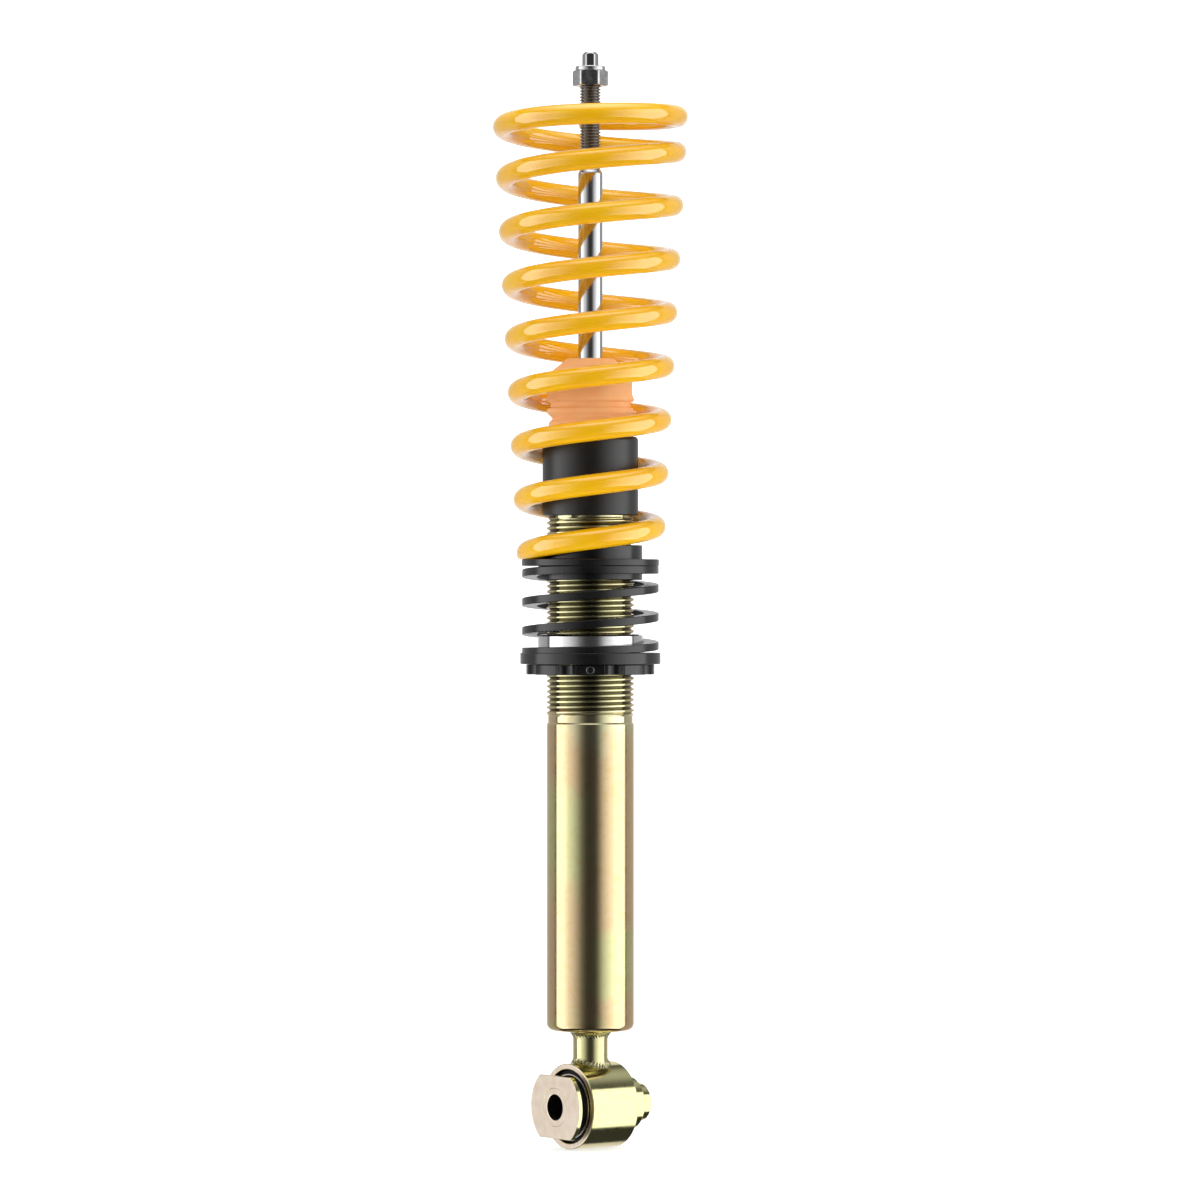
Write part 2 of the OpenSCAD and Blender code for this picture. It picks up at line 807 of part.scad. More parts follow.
outer_tube();
base_cup();
neck_bar();
upper_weld();
lower_weld();
eye_ring();
bush_outer_rubber();
bush_shell();
bush_rubber();
pressure_tube();
foot_valve();
foot_valve_bolt();
foot_valve_shims();
foot_valve_nut();
rod_guide();
guide_bush();
guide_o_ring();
rod_seal();
top_cap();
strike_cap();
piston_rod();
piston();
piston_band();
bump_shims();
rebound_shims();
piston_nut();
rebound_collar();
rebound_bumper();
top_nut();
bump_stop();
adjuster_ring();
lock_screw();
lock_pad();
spring_plate();
centring_sleeve();
helper_spring();
spring_adapter();
main_spring();
bush_sleeve();
bush_washer();
distance_collar();
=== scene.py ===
import bmesh
import bpy
import numpy as np
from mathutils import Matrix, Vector


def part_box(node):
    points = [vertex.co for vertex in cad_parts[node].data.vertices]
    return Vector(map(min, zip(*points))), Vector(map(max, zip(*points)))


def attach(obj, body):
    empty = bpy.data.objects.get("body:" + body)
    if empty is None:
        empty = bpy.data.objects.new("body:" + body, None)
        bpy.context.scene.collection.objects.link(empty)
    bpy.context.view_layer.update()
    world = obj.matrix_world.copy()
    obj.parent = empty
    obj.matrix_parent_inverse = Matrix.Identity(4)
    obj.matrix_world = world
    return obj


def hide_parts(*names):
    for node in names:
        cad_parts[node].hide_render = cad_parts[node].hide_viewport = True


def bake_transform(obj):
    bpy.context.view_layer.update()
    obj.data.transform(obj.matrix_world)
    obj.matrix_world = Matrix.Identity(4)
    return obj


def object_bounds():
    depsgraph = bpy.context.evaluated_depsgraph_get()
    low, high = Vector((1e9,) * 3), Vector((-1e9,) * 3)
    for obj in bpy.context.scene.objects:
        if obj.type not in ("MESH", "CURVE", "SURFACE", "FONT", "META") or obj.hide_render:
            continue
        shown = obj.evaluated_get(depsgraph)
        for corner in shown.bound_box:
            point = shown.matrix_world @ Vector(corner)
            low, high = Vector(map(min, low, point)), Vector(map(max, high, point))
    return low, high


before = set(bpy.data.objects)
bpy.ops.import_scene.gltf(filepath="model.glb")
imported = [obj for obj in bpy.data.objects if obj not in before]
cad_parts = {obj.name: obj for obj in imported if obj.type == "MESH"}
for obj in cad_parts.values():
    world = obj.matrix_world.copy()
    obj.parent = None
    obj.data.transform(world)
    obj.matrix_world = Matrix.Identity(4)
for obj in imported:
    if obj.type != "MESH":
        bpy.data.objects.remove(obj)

cad_box = [list(corner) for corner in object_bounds()]


# ---------------------------------------------------------------------------- body tube
# The damper's outer tube: drawn steel, 50 mm across, with a 3 mm height thread turned on
# its upper length and its foot closed by a pressed cup welded in. Tube and cup are zinc
# plated and yellow passivated together, so they show as one piece.

MM = 0.001
TURN = 2 * np.pi


def linear(colour):
    """An sRGB hex colour as linear red, green, blue and full alpha."""
    parts = [int(colour[i:i + 2], 16) / 255 for i in (1, 3, 5)]
    return [c / 12.92 if c <= 0.04045 else ((c + 0.055) / 1.055) ** 2.4 for c in parts] + [1]


def add(tree, kind, settings, links):
    """One node. Capitalised or numbered settings are its sockets, the others its properties,
    and stops are a ramp's places with hex colours or plain greys. Links join its sockets to
    other outputs."""
    node = tree.nodes.new(kind)
    for key, value in settings.items():
        if key == "stops":
            while len(node.color_ramp.elements) < len(value):
                node.color_ramp.elements.new(0.5)
            for stop, (at, colour) in zip(node.color_ramp.elements, value):
                stop.position = at
                stop.color = linear(colour) if isinstance(colour, str) else [colour] * 3 + [1]
        elif isinstance(key, int) or key[0].isupper():
            node.inputs[key].default_value = value
        else:
            setattr(node, key, value)
    for key, output in links.items():
        tree.links.new(output, node.inputs[key])
    return node


def start(name, settings):
    """A new material with these shader settings: the material, its tree, its shader and the
    object coordinates in millimetres."""
    coat = bpy.data.materials.new(name)
    coat.use_nodes = True
    tree = coat.node_tree
    shader = tree.nodes["Principled BSDF"]
    for key, value in settings.items():
        shader.inputs[key].default_value = value
    where = add(tree, "ShaderNodeTexCoord", {}, {}).outputs["Object"]
    place = add(tree, "ShaderNodeMapping", {"Scale": (1 / MM, 1 / MM, 1 / MM)}, {"Vector": where})
    return coat, tree, shader, place.outputs[0]


def span(node):
    """Lowest and highest corner of a CAD node, in millimetres."""
    low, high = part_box(node)
    return np.array(low) / MM, np.array(high) / MM


def eased(corners, radius, steps=5):
    """A closed outline with its corners rounded: each corner becomes a quadratic curve from a
    point `radius` back along one edge to a point `radius` on along the next, held to 0.4 of the
    edge, with one more point a quarter further out at each end to keep the flats flat."""
    corners = np.array(corners, float)
    radius = np.broadcast_to(np.asarray(radius, float), len(corners))
    back, on = np.roll(corners, 1, 0) - corners, np.roll(corners, -1, 0) - corners
    reach = [np.linalg.norm(edge, axis=1) for edge in (back, on)]
    back = back * np.minimum(radius / reach[0], 0.4)[:, None]
    on = on * np.minimum(radius / reach[1], 0.4)[:, None]
    t = np.linspace(0, 1, steps)[None, :, None]
    arc = corners[:, None] + (1 - t) ** 2 * back[:, None] + t ** 2 * on[:, None]
    ends = [corners[:, None] + 1.25 * back[:, None], corners[:, None] + 1.25 * on[:, None]]
    return np.concatenate([ends[0], arc, ends[1]], 1).reshape(-1, 2)


def polar(radius, angle, height):
    """Points round Z: x and y are the radius times the cosine and sine of the angle, and z is
    the height."""
    x, y = radius * np.cos(angle), radius * np.sin(angle)
    return np.stack(np.broadcast_arrays(x, y, height), -1)


def turned(profile, columns):
    """A profile of (radius, height) points turned about Z by equal angles."""
    radius, height = np.asarray(profile, float).T[:, :, None]
    return polar(radius, TURN * np.arange(columns) / columns, height)


def numbers(points):
    """The vertex numbers of a grid of points, row by row."""
    return np.arange(points.shape[0] * points.shape[1]).reshape(points.shape[:2])


def strips(rows):
    """Quads that join each row of vertex numbers to the next, all the way round."""
    low, high = rows[:-1], rows[1:]
    return np.stack([low, np.roll(low, -1, 1), np.roll(high, -1, 1), high], -1).reshape(-1, 4)


def build(name, points, groups, coats, body, stands_for, sharp=40, second=None):
    """A closed mesh from points in millimetres and groups of faces, smooth but for edges sharper
    than `sharp` degrees, riding on a body in place of CAD nodes. `second` gives each face the
    number of its coat, where it has more than one."""
    mesh = bpy.data.meshes.new(name)
    mesh.from_pydata((points.reshape(-1, 3) * MM).tolist(), [],
                     sum((group.tolist() for group in groups), []))
    shell = bmesh.new()
    shell.from_mesh(mesh)
    bmesh.ops.recalc_face_normals(shell, faces=shell.faces[:])
    shell.to_mesh(mesh)
    shell.free()
    for coat in coats:
        mesh.materials.append(coat)
    if second is not None:
        mesh.polygons.foreach_set("material_index", second.astype(np.int32))
    mesh.shade_smooth()
    mesh.set_sharp_from_angle(angle=np.radians(sharp))
    piece = bpy.data.objects.new(name, mesh)
    bpy.context.scene.collection.objects.link(piece)
    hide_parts(*stands_for)
    if body:
        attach(piece, body)
    return piece


def thread(below, above, foot, pitch, turns, cut, radius_at, columns):
    """A screw thread between two turned profiles, as points and groups of faces.
    Row k climbs one pitch in a turn: its height is foot + (k // n + phase) pitches, plus the
    pitch times the part of a turn gone round, so its last column meets row k + n's first.
    The radius is radius_at(height, share of the full depth)."""
    phases, depths = np.array(cut).T
    n, count = len(phases), len(cut) * turns
    part = np.arange(columns) / columns
    rise = (np.arange(turns)[:, None] + phases).reshape(-1, 1)
    z = foot + pitch * (rise + part)
    r = radius_at(z, np.tile(depths, turns)[:, None])
    helix = polar(r, TURN * part, z)
    points = np.concatenate([turned(below, columns), helix, turned(above, columns)])
    low, mid, high = np.split(numbers(points), [len(below), len(below) + count])
    inner = np.stack([mid[:-1, :-1], mid[:-1, 1:], mid[1:, 1:], mid[1:, :-1]], -1)
    wrap = np.stack([mid[:-1 - n, -1], mid[n:-1, 0], mid[n + 1:, 0], mid[1:-n, -1]], -1)
    foot_row = np.stack([low[-1, :-1], low[-1, 1:], mid[0, 1:], mid[0, :-1]], -1)
    head_row = np.stack([mid[-1, :-1], mid[-1, 1:], high[0, 1:], high[0, :-1]], -1)
    foot_seam = np.concatenate([low[-1, [-1, 0]], mid[:n + 1, 0], mid[0, -1:]])[None]
    head_seam = np.concatenate([high[0, [0, -1]], mid[:-2 - n:-1, -1], mid[-1, :1]])[None]
    groups = [strips(low), foot_row, foot_seam, inner.reshape(-1, 4), wrap, head_row, head_seam,
              strips(high), low[0][None], high[-1][None]]
    return points, groups


# Yellow passivated zinc over turned steel: a thin clear film on bright plating, so the
# eye sees pale gold that drifts to straw green and to peach where the film drained
# thicker, in streaks that run up and down the tube, and a soft but clear reflection.
zinc, tree, shader, place = start("yellow_passivated_zinc", {
    "Metallic": 1.0, "Roughness": 0.15, "Specular Tint": (1.0, 0.9, 0.88, 1.0)})
# the film drained in bands some 50 to 100 mm tall, set differently on the part's two sides,
# with edges that wander by about 12 mm
wander = add(tree, "ShaderNodeTexNoise", {"Scale": 0.05, "Detail": 2.0, "Roughness": 0.4},
             {"Vector": place})
axes = add(tree, "ShaderNodeSeparateXYZ", {}, {"Vector": place})
level = add(tree, "ShaderNodeMath", {"operation": "MULTIPLY_ADD", 1: 50.0},
            {0: wander.outputs[0], 2: axes.outputs["Z"]})
height = add(tree, "ShaderNodeMapRange", {"From Min": 25.0, "From Max": 625.0},
             {"Value": level.outputs[0]})
left_film = add(tree, "ShaderNodeValToRGB", {"stops": [
    (0.06, "#DCDAA4"), (0.09, "#E6CCA1"), (0.19, "#E6CCA1"), (0.233, "#DCDAA4"),
    (0.29, "#DCDAA4"), (0.317, "#E6CCA1"), (0.35, "#E6CCA1"), (0.375, "#E4E1B8")]},
    {"Fac": height.outputs[0]})
right_film = add(tree, "ShaderNodeValToRGB", {"stops": [
    (0.06, "#DCDAA4"), (0.08, "#E6CCA1"), (0.10, "#E6CCA1"), (0.123, "#DCDAA4"),
    (0.162, "#DCDAA4"), (0.18, "#E6CCA1"), (0.325, "#E6CCA1"), (0.36, "#E4E1B8")]},
    {"Fac": height.outputs[0]})
to_right = add(tree, "ShaderNodeMapRange", {"From Min": -6.0, "From Max": 6.0},
               {"Value": axes.outputs["X"]})
film = add(tree, "ShaderNodeMix", {"data_type": "RGBA"},
           {0: to_right.outputs[0], 6: left_film.outputs[0], 7: right_film.outputs[0]})
# cloudy patches about 6 mm across, where the passivate took unevenly
patches = add(tree, "ShaderNodeTexNoise", {"Scale": 0.16, "Detail": 4.0, "Roughness": 0.6},
              {"Vector": place})
patch_tint = add(tree, "ShaderNodeValToRGB", {"stops": [
    (0.30, "#FAF7E8"), (0.52, "#FFFFFF"), (0.72, "#FFF5EC")]}, {"Fac": patches.outputs[0]})
film_colour = add(tree, "ShaderNodeMix", {"data_type": "RGBA", "blend_type": "MULTIPLY", 0: 1.0},
                  {6: film.outputs[2], 7: patch_tint.outputs[0]})
# painted shade: the zinc's colour is greyed and darkened by the thread's depth, standing in for
# the shade that falls in the grooves
groove = add(tree, "ShaderNodeAttribute", {"attribute_name": "groove"}, {})
painted_groove_shade = add(tree, "ShaderNodeValToRGB", {"stops": [
    (0.1, "#FFFFFF"), (0.5, "#D2D1D0"), (0.95, "#87888C")]}, {"Fac": groove.outputs["Fac"]})
zinc_colour = add(tree, "ShaderNodeMix", {"data_type": "RGBA", "blend_type": "MULTIPLY", 0: 1.0},
                  {6: film_colour.outputs[2], 7: painted_groove_shade.outputs[0]})
tree.links.new(zinc_colour.outputs[2], shader.inputs["Base Color"])
haze = add(tree, "ShaderNodeMapRange", {"From Min": 0.3, "From Max": 0.7, "To Min": 0.1,
                                        "To Max": 0.16}, {"Value": patches.outputs[0]})
tree.links.new(haze.outputs[0], shader.inputs["Roughness"])
# plating grain about 0.7 mm across, drawn some ten times as coarse as it is
grain = add(tree, "ShaderNodeTexNoise", {"Scale": 1.4, "Detail": 2.0}, {"Vector": place})
relief = add(tree, "ShaderNodeBump", {"Strength": 0.02, "Distance": 0.0001},
             {"Height": grain.outputs[0]})
tree.links.new(relief.outputs[0], shader.inputs["Normal"])

tube_r, tube_top = span("outer_tube")[1][[0, 2]]
plain_r, base_z = span("base_cup")[1][0], span("base_cup")[0][2]
base_round = 4.0
bore_r = 21.5
thread_from, thread_to = 222.6, 333.6
thread_pitch, thread_depth = 3.0, 1.8
root_r = tube_r - thread_depth
relief_r = plain_r - 0.75
bend = np.linspace(0, TURN / 4, 12)[:, None]
tube_foot = np.concatenate([
    [[2, base_z], [plain_r - base_round - 1, base_z]],
    np.hstack([plain_r - base_round * (1 - np.sin(bend)),
               base_z + base_round * (1 - np.cos(bend))]),
    [[plain_r, base_z + base_round + 1], [plain_r, thread_from - 5.6],
     [plain_r, thread_from - 5.35],
     [plain_r - 0.08, thread_from - 5.2], [relief_r + 0.06, thread_from - 4.4],
     [relief_r, thread_from - 4.2], [relief_r, thread_from - 4]]])
tube_head = np.array([
    [root_r, thread_to + 5.6], [root_r, tube_top - 1.2], [root_r - 0.6, tube_top],
    [bore_r + 0.4, tube_top], [bore_r, tube_top - 0.4], [bore_r, base_z + 8.2],
    [bore_r - 0.3, base_z + 8], [2, base_z + 8]])


def height_thread(z, depth):
    """The least of two radii: the turned blank, stepped down to the relief below and chamfered
    off above, and the crest less the depth, which runs out over the lowest turn."""
    blank = np.interp(z, [thread_from - 0.5, thread_from + 0.1, thread_to - 0.2, thread_to + 1.1],
                      [relief_r, tube_r, tube_r, root_r])
    run_out = np.interp(z, [thread_from - 1.4, thread_from + 2.2], [0, 1])
    return np.minimum(blank, tube_r - thread_depth * depth * run_out)


# one turn's section as (part of the pitch, share of the depth): a flat crest, two flanks
# and a narrow root, with every corner rounded by the tool's nose
thread_cut = [(0.03, 0), (0.27, 0), (0.305, 0.03), (0.34, 0.12), (0.56, 0.88), (0.595, 0.97),
              (0.625, 1), (0.675, 1), (0.705, 0.97), (0.74, 0.88), (0.96, 0.12), (0.995, 0.03)]
points, groups = thread(tube_foot, tube_head, thread_from - 3.9, thread_pitch, turns=38,
                        cut=thread_cut, radius_at=height_thread, columns=112)
tube = build("body_tube", points, groups, [zinc], "damper_body", ["outer_tube", "base_cup"],
             sharp=50)
# the thread's depth, kept as the groove attribute, darkens the zinc there as painted shade
x, y, z = points.reshape(-1, 3).T
depth = np.clip((tube_r - np.hypot(x, y)) / thread_depth, 0, 1)
depth = np.where((z > thread_from) & (z < thread_to), depth, 0)
tube.data.attributes.new("groove", "FLOAT", "POINT").data.foreach_set(
    "value", depth.astype(np.float32))


# ---------------------------------------------------------------------------- neck
# A plain steel bar, 19.8 mm thick, that stands the tube off the eye. It is welded to the
# tube's foot and to the eye ring, and plated with them.


def capped(points):
    """Faces of a grid of points closed by one face over its first row and one over its last."""
    rows = numbers(points)
    return [strips(rows), rows[0][None], rows[-1][None]]


neck_r = span("neck_bar")[1][0]
eye_r = 24.4
neck_profile = [[2, eye_r - 2.4], [neck_r - 0.3, eye_r - 2.4], [neck_r, eye_r - 2.1],
                [neck_r, base_z + 1], [neck_r - 0.3, base_z + 1.3], [2, base_z + 1.3]]
points = turned(neck_profile, 96)
build("neck", points, capped(points), [zinc], "damper_body", ["neck_bar"])


# ---------------------------------------------------------------------------- welds
# The two weld beads round the neck: hollow fillets under the tube's foot and on the saddle
# of the eye ring, laid by hand in overlapping pools and plated over.


def finished(name, settings, pattern, stops, haze=None, bump=None, grain=None,
             kind="ShaderNodeTexNoise", stretch=None):
    """A new material with these shader settings. Its colour runs through the stops by a noise
    pattern, stretched where that is asked for, and its roughness from the first number of haze
    to the second by the same noise. Bump is the strength and the depth in metres of a relief,
    which follows the noise or a pattern of its own kind with grain's settings."""
    coat, tree, shader, place = start(name, settings)
    if stretch:
        place = add(tree, "ShaderNodeMapping", {"Scale": stretch}, {"Vector": place}).outputs[0]
    noise = add(tree, "ShaderNodeTexNoise", pattern, {"Vector": place})
    tint = add(tree, "ShaderNodeValToRGB", {"stops": stops}, {"Fac": noise.outputs[0]})
    tree.links.new(tint.outputs[0], shader.inputs["Base Color"])
    if haze:
        rough = add(tree, "ShaderNodeMapRange", {
            "From Min": 0.3, "From Max": 0.7, "To Min": haze[0], "To Max": haze[1]},
            {"Value": noise.outputs[0]})
        tree.links.new(rough.outputs[0], shader.inputs["Roughness"])
    if bump:
        rise = add(tree, kind, grain, {"Vector": place}) if grain else noise
        relief = add(tree, "ShaderNodeBump", {"Strength": bump[0], "Distance": bump[1]},
                     {"Height": rise.outputs[0]})
        tree.links.new(relief.outputs[0], shader.inputs["Normal"])
    return coat


# Plated weld metal: the same film on a smooth but rippled bead, so it shows short broken
# lights and looks a little browner than the turned faces beside it, with scale and ripple
# marks about 1.2 mm across.
weld = finished("plated_weld_metal", {"Metallic": 1.0, "Roughness": 0.2},
                {"Scale": 0.8, "Detail": 5.0, "Roughness": 0.65},
                [(0.32, "#9C8F62"), (0.5, "#CFC893"), (0.62, "#DCD8B4"), (0.75, "#DCCFA0")],
                haze=(0.12, 0.26), bump=(0.2, 0.0003))


def pools(part, across, count, height):
    """Ripple of the weld pools: a row of crescents, each a ridge whose phase runs on by the
    square of the distance from the bead's middle, dying out at the bead's two edges."""
    phase = part * count - 0.9 * (2 * across - 1) ** 2
    ridge = 1 - np.abs(2 * (phase % 1) - 1) ** 1.6
    wander = 0.35 * np.sin(TURN * part * 5 + 1) + 0.25 * np.sin(TURN * part * 11 + 2.5)
    return height * (ridge + wander) * np.sin(np.pi * across)


def looped(points):
    """Faces of a grid of points whose last row joins its first, as round a ring's section."""
    rows = numbers(points)
    return [strips(np.vstack([rows, rows[:1]]))]


columns = 288
part = np.arange(columns) / columns
across = np.linspace(0, 1, 17)[:, None]
swing = across * TURN / 4
ripple = pools(part, across, count=38, height=0.3)
weld_w, weld_h = 4.4, 4.6
radius = neck_r + weld_w * (1 - np.cos(swing)) + 0.12 + ripple
height = base_z - weld_h * (1 - np.sin(swing)) - 0.6 * ripple
# three rows close the section, behind the bead
hidden = np.array([[weld_w], [-1], [-1]]) + 0 * part
radius = np.concatenate([radius, neck_r + hidden])
height = np.concatenate([height, base_z + np.array([[0.6], [0.6], [-weld_h]]) + 0 * part])
points = polar(radius, TURN * part, height)
build("upper_weld_bead", points, looped(points), [weld], "damper_body", ["upper_weld"])

# the bolt's axis points this far round from +X, towards the washer's side
eye_turn = np.radians(217)
ripple = pools(part, across, count=34, height=0.28)
spread, rise = 2.1, 3.1
radius = neck_r + 0.1 + spread * (1 - np.cos(swing)) ** 0.9 + ripple
off_axis = radius * np.sin(TURN * part - eye_turn)
height = np.sqrt(eye_r ** 2 - off_axis ** 2) + rise * (1 - np.sin(swing)) ** 0.9 \
    + 0.5 * ripple - 0.05
deep = np.sqrt(eye_r ** 2 - ((neck_r - 1) * np.sin(TURN * part - eye_turn)) ** 2)
edge = np.sqrt(eye_r ** 2 - ((neck_r + spread) * np.sin(TURN * part - eye_turn)) ** 2)
hidden = np.array([[spread], [-1], [-1]]) + 0 * part
radius = np.concatenate([radius, neck_r + hidden])
height = np.concatenate([height, [edge - 0.9, deep - 0.9, deep + rise - 0.4]])
points = polar(radius, TURN * part, height)
build("lower_weld_bead", points, looped(points), [weld], "damper_body", ["lower_weld"])


# ---------------------------------------------------------------------------- eye ring
# A short length of thick steel tube, cut square and lightly chamfered, that holds the bush.
# It is plated in the same bath as the tube.


def along_bolt(points):
    """Turns a piece made about Z onto the eye's axis, +Z becoming the washer's side: the old
    z runs out along the axis, y across it and x downwards."""
    x, y, z = np.moveaxis(points, -1, 0)
    return np.stack([z * np.cos(eye_turn) - y * np.sin(eye_turn),
                     z * np.sin(eye_turn) + y * np.cos(eye_turn), -x], -1)


def turned_ring(name, corners, radius, coats, body, stands_for, bolt=False, columns=128,
                sharp=40, pick=None):
    """A ring turned from a closed outline of (radius, height) corners, each one eased. `pick`
    gives the number of the coat from a strip's middle radius and height."""
    outline = eased(corners, radius)
    points = turned(outline, columns)
    if bolt:
        points = along_bolt(points)
    middle = (outline + np.roll(outline, -1, 0)) / 2
    return build(name, points, looped(points), coats, body, stands_for, sharp,
                 None if pick is None else np.repeat(pick(*middle.T), columns))


# Zinc on a flat cut or stamped face: too matt to show the film's gold, so it looks a pale,
# warm silver, a little cloudy.
faced = finished("plated_flat_face", {"Metallic": 1.0, "Roughness": 0.32},
                 {"Scale": 0.25, "Detail": 4.0}, [(0.3, "#FBE6D0"), (0.7, "#FFF0DE")],
                 haze=(0.32, 0.38))

eye_half, eye_bore_r = 15.9, 21.1
turned_ring("eye_tube", [[eye_bore_r, -eye_half], [eye_r, -eye_half], [eye_r, eye_half],
                         [eye_bore_r, eye_half]], 0.55, [zinc, faced], "damper_body",
            ["eye_ring"], bolt=True, columns=160,
            pick=lambda r, z: (np.abs(z) > eye_half - 0.02).astype(int))


# ---------------------------------------------------------------------------- eye bush
# A rubber bush pressed into the eye: rubber moulded on a thin steel shell, outside it as a
# sleeve and inside it as the working rubber, dished at both faces.

# Black natural rubber, moulded and never polished: nearly black, with a broad dull sheen.
# It has bloom in patches about 5 mm across and a moulded skin about 0.5 mm across.
rubber = finished("moulded_black_rubber", {"Specular IOR Level": 0.35, "Roughness": 0.6},
                  {"Scale": 0.2, "Detail": 3.0}, [(0.35, "#0C0C0D"), (0.7, "#1A1A1B")],
                  bump=(0.25, 0.0001), grain={"Scale": 2.0, "Detail": 2.0})

# Bright turned steel under clear zinc: neutral silver with fine tool rings.
# The rings are 0.5 mm apart, drawn about five times as coarse as the real feed.
bright = finished("bright_turned_steel", {"Metallic": 1.0, "Roughness": 0.2},
                  {"Scale": 0.35, "Detail": 4.0}, [(0.3, "#BDBDBF"), (0.6, "#D6D6D6")],
                  haze=(0.13, 0.26), bump=(0.06, 0.0001), kind="ShaderNodeTexWave",
                  grain={"wave_type": "BANDS", "bands_direction": "Z", "Scale": 0.63,
                         "Distortion": 0.4})

shell_r, shell_wall, shell_half = 18.6, 0.9, 15.0
rubber_half, dish = 13.5, 3.0
sleeve_r = 10.85
turned_ring("bush_outer_sleeve", [
    [shell_r, -rubber_half], [eye_bore_r - 0.7, -rubber_half - 0.1],
    [eye_bore_r, -rubber_half + 1], [eye_bore_r, rubber_half - 1],
    [eye_bore_r - 0.7, rubber_half + 0.1], [shell_r, rubber_half]],
    0.5, [rubber], "damper_body", ["bush_outer_rubber"], bolt=True)
turned_ring("bush_steel_shell", [
    [shell_r - shell_wall, -shell_half], [shell_r, -shell_half], [shell_r, shell_half],
    [shell_r - shell_wall, shell_half]], 0.2, [bright], "damper_body", ["bush_shell"],
    bolt=True)
turned_ring("bush_inner_rubber", [
    [sleeve_r + 0.05, -rubber_half], [sleeve_r + 1.6, -rubber_half],
    [sleeve_r + 3.2, -rubber_half + dish], [shell_r - shell_wall, -rubber_half + dish - 0.8],
    [shell_r - shell_wall, rubber_half - dish + 0.8], [sleeve_r + 3.2, rubber_half - dish],
    [sleeve_r + 1.6, rubber_half], [sleeve_r + 0.05, rubber_half]], 1.2, [rubber],
    "damper_body", ["bush_rubber"], bolt=True)


# ---------------------------------------------------------------------------- bush sleeve
# The steel sleeve that the lower bolt clamps, with a washer staked on one end and a longer
# nose with a distance collar on the other. All three turn together and are plated yellow.

# The bore stays unplated: dark oiled steel with rust-brown clouds some 4 mm across.
oiled = finished("oiled_bore", {"Metallic": 0.6, "Roughness": 0.5},
                 {"Scale": 0.25, "Detail": 3.0}, [(0.3, "#141211"), (0.7, "#221C18")])

bolt_r, nose, sleeve_front = 7.25, -36.6, 25.2
turned_ring("clamped_sleeve", [
    [bolt_r, nose], [sleeve_r - 1.2, nose], [sleeve_r, nose + 1.2], [sleeve_r, sleeve_front],
    [bolt_r, sleeve_front]], [0.4, 0.3, 0.3, 0.12, 0.5], [zinc, faced, oiled], "bush_sleeve",
    ["bush_sleeve"], bolt=True,
    pick=lambda r, z: np.where(r < bolt_r + 0.1, 2, z > sleeve_front - 0.05))
turned_ring("collar_behind_bush", [
    [sleeve_r, -28.2], [14.5, -28.2], [15.3, -27.4], [15.3, -17.4], [sleeve_r, -17.4]], 0.3,
    [zinc], "bush_sleeve", ["distance_collar"], bolt=True)


def flat_ring(outline, bore, low, high, edge, walls):
    """A flat ring with any outline: rows run from the bore over the top, down the outside and
    back underneath. Each row's radius is the bore plus an inset, or the outline less one, the
    insets following a quarter circle at each edge."""
    bend = np.linspace(0, TURN / 4, 5)
    side, cap = edge * (1 - np.cos(bend)), edge * (1 - np.sin(bend))
    wall = np.linspace(low + 1.3 * edge, high - 1.3 * edge, walls)
    inset = np.concatenate([side, [1.3 * edge, 1.3 * edge], side[::-1], 0 * wall[::-1], side,
                            [1.3 * edge, 1.3 * edge], side[::-1], 0 * wall[:2]])
    height = np.concatenate([high - cap, [high, high], high - cap[::-1], wall[::-1], low + cap,
                             [low, low], low + cap[::-1], wall[[0, -1]]])
    outside = np.zeros(len(inset))
    outside[6:6 + 5 + 1 + walls + 5 + 1] = 1
    inset, height, outside = inset[:, None], height[:, None], outside[:, None]
    return np.where(outside == 1, outline - inset, bore + inset), height + 0 * outline


washer_r, washer_flat, washer_t = 23.0, 17.8, 2.5
corner = np.arccos(washer_flat / washer_r)
angle = np.concatenate([np.linspace(a, b, n, endpoint=False) for a, b, n in (
    (-corner, corner, 40), (corner, np.pi - corner, 52), (np.pi - corner, np.pi + corner, 40),
    (np.pi + corner, TURN - corner, 52))])
outline = np.minimum(washer_r, washer_flat / np.maximum(np.abs(np.cos(angle)), 1e-6))
radius, height = flat_ring(outline, sleeve_r, sleeve_front - washer_t, sleeve_front,
                           edge=0.2, walls=2)
flats = np.abs(height[:, 0] - sleeve_front + washer_t / 2) > washer_t / 2 - 0.01
flats = np.repeat(flats & np.roll(flats, -1), len(angle))
points = along_bolt(polar(radius, angle, height))
build("washer_with_flats", points, looped(points), [zinc, faced], "bush_sleeve",
      ["bush_washer"], sharp=50, second=flats)


# ---------------------------------------------------------------------------- damper insides
# Inside the tube: the foot valve on its flange, the pressure tube with the piston, its shims
# and its nut, the rebound stop, and the rod guide with its bush, ring and seal under the
# tube's screwed cap. They are plain turned parts, held in a stack.

# Machined aluminium: light grey metal with a soft, slightly cloudy shine.
alloy = finished("machined_aluminium", {"Metallic": 1.0, "Roughness": 0.32},
                 {"Scale": 0.5, "Detail": 3.0}, [(0.3, "#A9ABAE"), (0.7, "#C4C6C8")])

# Sintered bronze soaked in oil: brown gold, dull, with fine pores about 0.3 mm across.
bronze = finished("sintered_bronze", {"Metallic": 1.0, "Roughness": 0.45},
                  {"Scale": 3.0, "Detail": 2.0}, [(0.35, "#6E4A22"), (0.55, "#B07F45")])

# Bronze filled slide band: blue green plastic with darker flecks about 0.5 mm across.
band = finished("filled_slide_band", {"Roughness": 0.5}, {"Scale": 2.0, "Detail": 2.0},
                [(0.4, "#234A52"), (0.6, "#4A7B84")])

